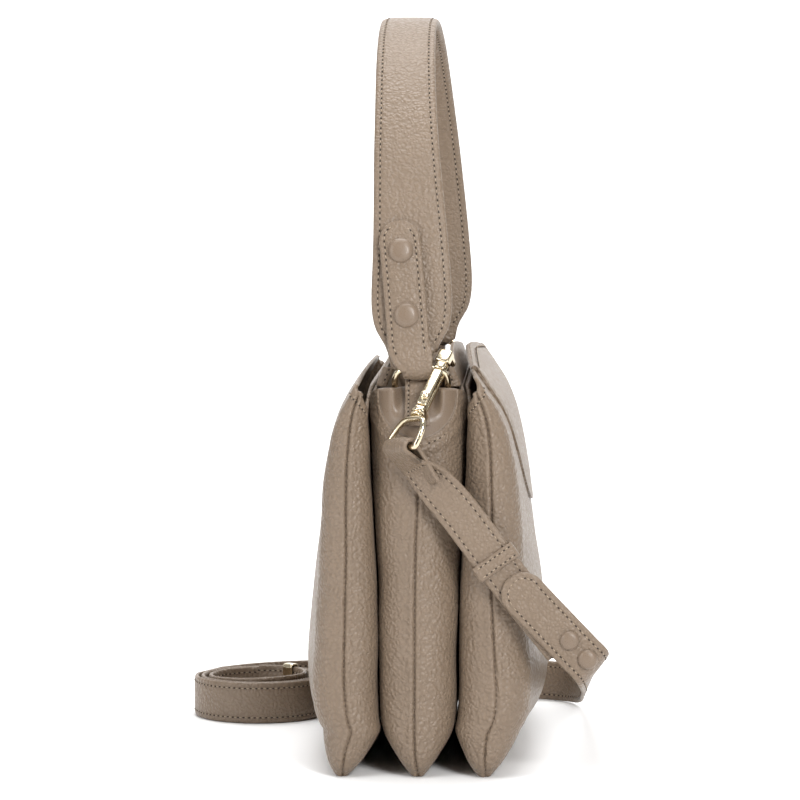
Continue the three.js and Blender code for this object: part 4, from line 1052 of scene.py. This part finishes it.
def on_right_face(y, z, lift):
    e = 0.5
    slope_z = (right_face(y, z + e) - right_face(y, z - e)) / (2 * e)
    slope_y = (right_face(y + e, z) - right_face(y - e, z)) / (2 * e)
    size = np.sqrt(1 + slope_y ** 2 + slope_z ** 2)
    return right_face(y, z) + lift / size, y - lift * slope_y / size, z - lift * slope_z / size


def flap_form(u, v):
    turn = np.pi / 2 * (2 * u - 1) * 0.97
    y = FLAP_HALF_LENGTH * np.sin(turn)
    drop = FLAP_DROP * np.cos(turn)
    edge = (1 - v) * drop
    hem = 0.25 * smooth((3.4 - edge) / 0.9) - 0.85 * smooth((14 - edge) / 14)
    ease = 1.4 * smooth((0.12 - v) / 0.12)
    lift = FLAP_LIFT + FLAP_THICK / 2 + 0.25 + hem - ease
    return on_right_face(y, hill_height(y) - FLAP_BELOW_RIM - drop * v, lift)


def soften(piece, thickness, edge):
    """Gives a sheet its thickness and rounds its cut edges."""
    apply_modifier(piece, "SOLIDIFY", thickness=thickness * MM, offset=0)
    apply_modifier(
        piece, "BEVEL", width=edge * MM, segments=3, limit_method="ANGLE", angle_limit=0.8,
        harden_normals=False,
    )
    select_only(piece)
    bpy.ops.object.shade_smooth()


front_flap = lay_grid("leather_front_flap", 110, 60, flap_form)
soften(front_flap, FLAP_THICK, 0.6)
hand_over(front_flap, pebbled_leather, "pebbled_leather", "front_flap")

# %% Stitches along the flap's top hem
y = np.linspace(-FLAP_HALF_LENGTH + 4, FLAP_HALF_LENGTH - 4, 90)
z = hill_height(y) - 3.4
line, above = (points(*on_right_face(y, z, FLAP_FACE + lift)) for lift in (0.15, 1.15))
print("flap hem stitches:", sew(line, above - line, pitch=2.6))

# %% Bands
BAND_HALF_LENGTH, BAND_THICK, BAND_TURN, BAND_TIP = 107, 2.0, 1.8, 2.8


def band_route():
    """Plan of a band: inward reach and place along the bag, from one turned end to the other."""
    turn = np.linspace(np.pi / 2, 0, 8)
    reach = np.r_[BAND_TURN + BAND_TIP * np.linspace(1, 0, 5), BAND_TURN * (1 - np.cos(turn[1:]))]
    last = BAND_HALF_LENGTH - BAND_THICK / 2
    place = np.r_[np.full(5, last), last - BAND_TURN + BAND_TURN * np.sin(turn[1:])]
    middle = np.linspace(-place[-1], place[-1], 60)[1:-1]
    return np.r_[reach, np.zeros(58), reach[::-1]], np.r_[-place, middle, place[::-1]]


BAND_REACH, BAND_PLACE = band_route()


def build_band(name, side, node):
    columns, rows = len(BAND_REACH) - 1, 16

    def form(u, v):
        c = np.round(u * columns).astype(int)
        z = GUSSET_HEIGHT + GAP + (hill_height(BAND_PLACE[c]) - GUSSET_HEIGHT - GAP) * v
        mid = centre_half_at(z) - POUCH_GAP / 2 - BAND_THICK / 2
        return side * (mid - BAND_REACH[c]), BAND_PLACE[c], z

    band = lay_grid(name, columns, rows, form)
    soften(band, BAND_THICK, 0.45)
    hand_over(band, strap_leather, "pebbled_leather", node)
    for _, end in ENDS:
        z = np.linspace(GUSSET_HEIGHT + 1.2, hill_height(BAND_HALF_LENGTH) - 1.2, 10)
        x = side * (centre_half_at(z) - POUCH_GAP / 2 - BAND_THICK / 2 - BAND_TURN - 0.6)
        sew(points(x, end * BAND_HALF_LENGTH, z), (0.0, end, 0), pitch=2.6)


build_band("stitched_band_left", -1, "top_band_left")
build_band("stitched_band_right", 1, "top_band_right")

# %% Hem stitches where the outer pouches dip
HEM_LINE = 4.0
hem_stitches = 0
for side in (-1, 1):
    for part, end in ((0, -1), (2, 1)):
        share = np.linspace(0.08, 0.92, 24)
        along = share if end < 0 else 1 - share
        z = outer_top(side, part, along) - HEM_LINE
        x, y, z = outer_skin(side, np.full(24, part), along, z, SEAM_ROW)
        turn = np.pi * (share - 0.5)
        out = points(side * np.sin(turn), end * np.cos(turn), 0)
        hem_stitches += sew(points(x, y + end * 0.1, z), out, pitch=2.8)
print("hem stitches:", hem_stitches)

# %% Ring tabs
CHAPE_WIDTH, CHAPE_THICK, CHAPE_DROP = 12, 1.6, 17
for place, end in ENDS:
    lip = float(centre_end_y(0.0, GUSSET_HEIGHT))
    front = lip + 1.2 + 4 * GAP + CHAPE_THICK / 2
    back = RING_BAR_Y - RING_WIRE / 2 - GAP - CHAPE_THICK / 2
    radius, middle = (front - back) / 2, (front + back) / 2
    z_front = np.linspace(GUSSET_HEIGHT - CHAPE_DROP, GUSSET_HEIGHT, 24)
    y_front = np.maximum(centre_end_y(0 * z_front, z_front), lip) + front - lip
    turn = np.linspace(0, math.pi, 16)
    z_back = np.linspace(GUSSET_HEIGHT, GUSSET_HEIGHT - CHAPE_DROP * 0.8, 14)[1:]
    y = np.r_[y_front, middle + radius * np.cos(turn), np.full(13, back)]
    z = np.r_[z_front, GUSSET_HEIGHT + 0.4 + radius * 0.9 * np.sin(turn), z_back]
    tab_at = points(0, end * y, z)
    chape = lay_strap(
        f"ring_tab_leather_{place}", tab_at, ACROSS_BAG, CHAPE_WIDTH / 2, CHAPE_THICK,
        crown=0.12, inset=1.8, bite=0.2, steps=16,
    )
    hand_over(chape, strap_leather, "pebbled_leather", f"ring_tab_{place}")
    sew_strap(tab_at[:40], ACROSS_BAG, CHAPE_WIDTH / 2, CHAPE_THICK, inset=1.8, lift=0.1, pitch=2.4)

# %% [markdown]
# ## Rings and swivel hook
# The fittings are cast zinc, polished and plated. Rings are bent wire with a round section. The
# hook has a squared head, a sprung gate with a thumb knob, a spine of two thin bars and a collar
# that turns on the eye's shank. Blocks and posts with rounded edges are joined to make it, because
# the soft edges are what catches the light on a real casting.

# %% Rings
def ring_path(end):
    a, b, corner = (RING_WIDTH - RING_WIRE) / 2, RING_HEIGHT - RING_WIRE / 2, 2.5
    bend = np.linspace(0, np.pi / 2, 9)
    left_u, left_v = -a + corner - corner * np.sin(bend), corner - corner * np.cos(bend)
    turn = np.pi - np.pi * np.arange(1, 48) / 48
    arch_u = a * np.sign(np.cos(turn)) * np.abs(np.cos(turn)) ** RING_SQUARENESS
    arch_v = corner + (b - corner) * np.sin(turn) ** RING_SQUARENESS
    bar = np.linspace(a - corner, -a + corner, 8)[1:-1]
    u = np.r_[left_u, arch_u, -left_u[::-1], bar]
    v = np.r_[left_v, arch_v, left_v[::-1], 0 * bar]
    return points(RING_OFFSET + u, end * (RING_BAR_Y + RING_LEAN * v / b), RING_BAR_Z + v)


for place, end in ENDS:
    ring = wire_along(f"strap_ring_{place}", ring_path(end), RING_WIRE, closed=True, sides=6)
    hand_over(ring, pale_gold, "pale_gold", f"d_ring_{place}")

# %% Hook frame
HOOK_BASE, HOOK_HEAD = Vector((0.7, -137.6, 177.8)), Vector((13.1, -119.8, 203.2))
SPINE_SIDE = Vector((0.173, 0.775, -0.61))
hook_up = (HOOK_HEAD - HOOK_BASE).normalized()
hook_deep = (SPINE_SIDE - hook_up * SPINE_SIDE.dot(hook_up)).normalized()
hook_wide = hook_deep.cross(hook_up)
hook_frame = Matrix((hook_wide, hook_deep, hook_up)).transposed().to_4x4()
hook_frame.translation = HOOK_BASE * MM
HOOK_LENGTH, HOOK_OPENING, GATE_FOOT, NOSE_START = 36.5, 7.6, 4.2, 25.8


def rounded(piece, edge):
    apply_modifier(piece, "BEVEL", width=edge * MM, segments=4, limit_method="ANGLE", angle_limit=0.6)
    return piece


def metal_block(width, depth, x, y, z0, z1, edge):
    select_only()
    bpy.ops.mesh.primitive_cube_add(size=1)
    block = added("casting")
    for corner in block.data.vertices:
        c = corner.co
        c.x, c.y = (x + c.x * width) * MM, (y + c.y * depth) * MM
        c.z = (z0 + (c.z + 0.5) * (z1 - z0)) * MM
    return rounded(block, edge)


def metal_post(radius, z0, z1, x=0.0, y=0.0, edge=0.3, turned=False):
    """A round post along Z, or along -Y out of the hook's face when turned."""
    select_only()
    bpy.ops.mesh.primitive_cylinder_add(vertices=40, radius=radius * MM, depth=(z1 - z0) * MM)
    post = added("casting")
    middle = Matrix.Translation(Vector((x, y, (z0 + z1) / 2)) * MM)
    if turned:
        middle = Matrix.Translation(Vector((x, -(z0 + z1) / 2, y)) * MM) @ upright
    post.data.transform(middle)
    return rounded(post, edge)


def cast(name, body, node, *blocks):
    select_only(*blocks)
    bpy.ops.object.join()
    piece = added(name)
    piece.data.transform(hook_frame)
    bpy.ops.object.shade_smooth_by_angle(angle=0.7)
    hand_over(piece, pale_gold, "pale_gold", node, body=body)


# %% Hook body and gate
cast(
    "swivel_hook_body", "bag", "hook_body",
    metal_block(6.9, 5.0, 0, 0.4, HOOK_LENGTH - 7, HOOK_LENGTH, 0.9),
    metal_block(6.6, 9.8, 0, 3.8, HOOK_LENGTH - 3, HOOK_LENGTH - 0.2, 1.0),
    metal_block(5.0, 2.6, 0, 0, NOSE_START, HOOK_LENGTH - 5, 0.9),
    metal_block(1.3, 2.2, -2.1, HOOK_OPENING, 0.6, HOOK_LENGTH - 1, 0.5),
    metal_block(1.3, 2.2, 0.2, HOOK_OPENING, 0.6, HOOK_LENGTH - 1, 0.5),
    metal_block(5.2, 9.4, 0, 3.8, 0.6, GATE_FOOT - 0.3, 0.9),
    metal_post(3.4, -0.6, 0.8, 0, 0.6, 0.4),
    metal_post(2.5, -1.4, 0, 0, 0.6, 0.2),
    metal_post(3.2, -2.3, -1.1, 0, 0.6, 0.4),
)
cast(
    "swivel_hook_gate", "gate", "hook_gate",
    metal_block(5.0, 2.5, 0, 0, GATE_FOOT, NOSE_START - 0.3, 0.95),
    metal_post(2.2, 0.6, 2.6, 0, 9.2, 0.5, turned=True),
    metal_post(1.5, 1.5, 3.2, 0, 9.2, 0.6, turned=True),
)

# %% Swivel eye
EYE_BAR_MIDDLE, EYE_WIRE, EYE_WIDTH = Vector((-7.3, -140.6, 161.2)), 3, 28.6
EYE_BAR_ALONG = Vector((0.56, -0.82, 0.1)).normalized()
EYE_TOP = HOOK_BASE + hook_up * (0.6 + 0.3 - 3 - GAP - EYE_WIRE / 2)


def eye_path():
    half, rise = (EYE_WIDTH - EYE_WIRE) / 2, EYE_TOP - EYE_BAR_MIDDLE
    points = []
    for k in range(57):
        turn = math.pi * k / 56
        across = math.copysign(abs(math.cos(turn)) ** 0.5, math.cos(turn))
        points.append(EYE_BAR_MIDDLE + EYE_BAR_ALONG * (half * across) + rise * max(math.sin(turn), 0) ** 0.9)
    for k in range(1, 12):
        points.append(EYE_BAR_MIDDLE + EYE_BAR_ALONG * (half * (k / 6 - 1)))
    return points


hook_eye = wire_along("swivel_eye", eye_path(), EYE_WIRE, closed=True, sides=6)
hand_over(hook_eye, pale_gold, "pale_gold", "hook_eye")

# %% [markdown]
# ## Crossbody strap
# The short strap is folded round the hook's eye, with its tail sewn under by a line of cross
# stitches. The long strap starts with a round tip that two snaps hold on the short one, turns back
# beside the bag, lies on the floor behind it and ends in a loose coil. Both are two strips of
# pebbled leather sewn back to back, so they use the same section as the shoulder strap.

# %% Short strap route
CROSS_WIDTH, CROSS_THICK, TAIL_LENGTH, TAIL_LEAN = 20, 2.4, 23, 0.8
SHORT_ROUTE = [
    (0, -3.2, -138.6, 153.4), (0.12, 1.8, -136.4, 149.6), (0.25, 8.6, -134.6, 143),
    (0.42, 19.7, -132.8, 129.9), (0.66, 35.3, -131.6, 109), (0.8, 44.6, -131.2, 96.6),
    (1, 70.5, -131, 64.5),
]
ACROSS_END = np.array([0.761, 0, 0.649])
bar_along, bar_middle = np.array(EYE_BAR_ALONG), np.array(EYE_BAR_MIDDLE)
fold_down = square_to(np.array([0.649, 0, -0.761]), bar_along)
fold_back = np.cross(bar_along, fold_down)
CROSS_FOLD = EYE_WIRE / 2 + 2 * GAP + CROSS_THICK / 2


def route_point(t):
    return np.stack([read_table(SHORT_ROUTE, k, t) for k in (1, 2, 3)], axis=-1)


def fold_point(turn):
    turn = np.asarray(turn)[..., None]
    return bar_middle + fold_back * CROSS_FOLD * np.cos(turn) - fold_down * CROSS_FOLD * np.sin(turn)


tail = np.linspace(1, 0, 12)[:-1, None]
tail_at = fold_point(0.0) + fold_down * TAIL_LENGTH * tail - fold_back * TAIL_LEAN * tail
fold_at = fold_point(np.linspace(0, np.pi, 24))
run = np.linspace(0, 1, 90)
run_at = route_point(run)
run_mix = smooth((run + 0.12) / 0.6)[:, None]
short_at = np.concatenate([tail_at, fold_at, run_at])
short_across = np.concatenate([
    np.tile(bar_along, (len(tail_at) + len(fold_at), 1)), bar_along + (ACROSS_END - bar_along) * run_mix,
])
short_strap = lay_strap(
    "crossbody_strap_short", short_at, short_across, CROSS_WIDTH / 2, CROSS_THICK,
    crown=0.22, inset=3.0, bite=0.28,
)
hand_over(short_strap, strap_leather, "strap_leather", "strap_short")

# %% Short strap stitches
seam_at = len(tail_at) + len(fold_at) + 6
print("short strap stitches:", sew_strap(
    short_at[seam_at:], short_across[seam_at:], CROSS_WIDTH / 2, CROSS_THICK, lift=0.05, pitch=3.6,
))
level, facing = (rows[seam_at] for rows in station_frames(short_at, short_across))
cross_line = short_at[seam_at] + level * np.linspace(-7, 7, 12)[:, None]
for face in (1, -1):
    sew(cross_line + facing * face * (CROSS_THICK / 2 + 0.2), facing * face, pitch=2.3)

# %% Long strap route
LONG_WIDTH, LONG_THICK = 21.5, 2.4
LONG_ROUTE = [
    (44.2, -134.2, 98.4, 46), (50, -134.2, 91.8, 46), (57, -134.2, 84.3, 46), (68, -134.1, 72.8, 46),
    (78, -134, 62.4, 46), (82, -133.2, 58.3, 47), (84, -129.6, 55.2, 49), (84.6, -122, 52.6, 51),
    (84.8, -100, 49.2, 54), (84.8, -60, 42.8, 60), (84.6, -10, 34.6, 68), (83.4, 40, 26, 76),
    (82, 85, 17.6, 84), (79, 113, 12.6, 89), (72, 129, 10.9, 90), (58, 137, 10.75, 90),
    (30, 139, 10.75, 90), (-10, 139, 10.75, 90), (-45, 137, 10.75, 90), (-72, 131.5, 10.75, 90),
    (-96, 121, 10.75, 90), (-113.5, 105.5, 10.75, 90),
]
COIL_X, COIL_Y, COIL_RADIUS, COIL_PITCH, COIL_TURNS, COIL_SLACK = -90, 79, 34.4, 3.2, 2.8, 3
SLIDER_WIDTH, SLIDER_THICK = 6.5, 1.2
knots = np.array(LONG_ROUTE, float)
chord = np.r_[0, np.cumsum(np.sqrt(np.linalg.norm(np.diff(knots[:, :3], axis=0), axis=1)))]
keyed = [(key, *row) for key, row in zip(chord, knots)]
fine = np.linspace(0, chord[-1], 420)
run_at = np.stack([read_table(keyed, k, fine) for k in (1, 2, 3)], axis=1)
tilt = np.radians(read_table(keyed, 4, fine))
run_across = points(np.cos(tilt), 0, np.sin(tilt))
from_tip = np.linalg.norm(run_at - run_at[0], axis=1) + 0.3
tip = np.minimum(from_tip / (LONG_WIDTH / 2), 1)
run_half = LONG_WIDTH / 2 * np.sqrt(np.maximum(1 - (1 - tip) ** 2, 0.003))


def coil_station(turned):
    turned = np.asarray(turned, float)
    turn = math.pi * 0.94 + 2 * math.pi * turned
    r = COIL_RADIUS - COIL_PITCH * turned - COIL_SLACK * smooth((turned - COIL_TURNS + 1) / 0.6)
    lift = (SLIDER_THICK + 2 * GAP) * smooth((turned - COIL_TURNS + 0.8) / 0.4)
    return points(COIL_X + r * np.cos(turn), COIL_Y + r * np.sin(turn), LONG_WIDTH / 2 + lift)


coil_at = coil_station(np.linspace(0.01, COIL_TURNS, 320))
long_at = np.concatenate([run_at, coil_at])
long_across = np.concatenate([run_across, np.tile([0.0, 0, 1], (len(coil_at), 1))])
long_half = np.r_[run_half, np.full(len(coil_at), LONG_WIDTH / 2)]
print("long strap:", round(path_length(long_at)), "mm long")

# %% Long strap
long_strap = lay_strap(
    "crossbody_strap_long", long_at, long_across, long_half, LONG_THICK, crown=0.2, inset=3.0, bite=0.28,
)
hand_over(long_strap, strap_leather, "strap_leather", "strap_long")
straight = np.arange(len(long_at)) > np.searchsorted(from_tip, LONG_WIDTH / 2)
print("long strap stitches:", sew_strap(
    long_at[straight], long_across[straight], long_half[straight], LONG_THICK, lift=0.05,
))

# %% Stitches round the long strap's tip
TIP_STATION = 20
tip_level, tip_out = (rows[TIP_STATION] for rows in station_frames(long_at, long_across))
tip_along = unit(np.gradient(long_at, axis=0)[TIP_STATION])
turn = np.linspace(-np.pi / 2, np.pi / 2, 26)[:, None]
reach = LONG_WIDTH / 2 - 3
centre = long_at[0] + tip_along * (LONG_WIDTH / 2)
tip_line = centre + tip_level * reach * np.sin(turn) - tip_along * reach * np.cos(turn)
for face in (1, -1):
    print("tip stitches:", sew(tip_line + tip_out * face * (LONG_THICK / 2 + 0.05), tip_out * face))

# %% [markdown]
# A leather keeper holds both straps together, and a metal slider holds the coil's loose end. Each
# is a flat band bent into a rectangle, so one helper sweeps a rounded section round that outline.

# %% Keeper and slider
def band_loop(name, inner_width, inner_depth, thick, width, corner, at, along, across):
    half_w, half_d = inner_width / 2 + thick / 2, inner_depth / 2 + thick / 2
    columns, rows = 96, 16
    outline = []
    for cx, cy, start in ((1, 1, 0), (-1, 1, 90), (-1, -1, 180), (1, -1, 270)):
        for k in range(9):
            turn = math.radians(start + 90 * k / 8)
            a, d = math.cos(turn), math.sin(turn)
            outline.append((cx * (half_w - corner) + corner * a, cy * (half_d - corner) + corner * d, a, d))
    outline = np.array(outline + outline[:1])
    way = np.r_[0, np.cumsum(np.hypot(*np.diff(outline[:, :2], axis=0).T) + 0.02)]
    out = np.cross(along, across)

    def form(u, v):
        s = (u % 1) * way[-1]
        a, d, na, nd = (np.interp(s, way, outline[:, k]) for k in range(4))
        turn = 2 * np.pi * v
        lift = thick / 2 * np.sign(np.cos(turn)) * np.abs(np.cos(turn)) ** 0.5
        side = width / 2 * np.sign(np.sin(turn)) * np.abs(np.sin(turn)) ** 0.5
        size = np.hypot(na, nd)
        a, d = a + na / size * lift, d + nd / size * lift
        return (at + across * a[:, None] + out * d[:, None] + along * side[:, None]).T

    return lay_grid(name, columns, rows, form, joined=True)


KEEPER_WIDTH, KEEPER_THICK = 8, 1.3
keeper_at = route_point(0.7)
keeper_along = unit(route_point(0.72) - keeper_at)
keeper_across = square_to(ACROSS_END, keeper_along)
keeper = band_loop(
    "leather_keeper", CROSS_WIDTH + 0.6, CROSS_THICK + 1.2, KEEPER_THICK, KEEPER_WIDTH, 1.4,
    keeper_at, keeper_along, keeper_across,
)
hand_over(keeper, strap_leather, "strap_leather", "keeper")
keeper_out = np.cross(keeper_along, keeper_across)
for face in (1, -1):
    for side in (1, -1):
        spots = keeper_at + keeper_across * np.linspace(-9.5, 9.5, 12)[:, None] + keeper_along * side * 2.4
        spots = spots + keeper_out * face * (CROSS_THICK / 2 + 0.6 + KEEPER_THICK)
        sew(spots, keeper_out * face, pitch=2.6)

slider_at = coil_station(COIL_TURNS - 0.13)
slider_along = unit(coil_station(COIL_TURNS - 0.12) - coil_station(COIL_TURNS - 0.14))
slider = band_loop(
    "strap_slider", LONG_WIDTH + 0.6, LONG_THICK + 1.2, SLIDER_THICK, SLIDER_WIDTH, 1.2,
    slider_at, slider_along, np.array([0.0, 0, 1]),
)
hand_over(slider, pale_gold, "pale_gold", "slider")

# %% Crossbody snaps
snap_from, snap_to = knots[3, :3], knots[4, :3]
for node, share in (("cross_snap_inner", 0.5), ("cross_snap_outer", 1.36)):
    seat = snap_from + (snap_to - snap_from) * share + (0, 0, 1.2)
    seat[1] = snap_from[1] - LONG_THICK / 2 - 0.45
    snap_dome(f"{node}_cap", *CROSS_SNAP, seat, (0, -1, 0), node)

# %% [markdown]
# ## Stitches in place
# All threads and holes laid so far become three joined meshes.

# %% Join the stitches
# The hole dots carry the painted shade of the stitch holes.
for name, model, finish, kind in (
    ("saddle_threads", THREAD, pale_thread, "thread"),
    ("saddle_hole_shades", HOLE_SHADE, stitch_hole_shade, "hole"),
    ("seam_threads", THREAD, brown_thread, "seam"),
):
    hand_over(join_copies(name, model, STITCHES[kind]), finish, "strap_leather")

# %% [markdown]
# ## End


print("all pieces built")
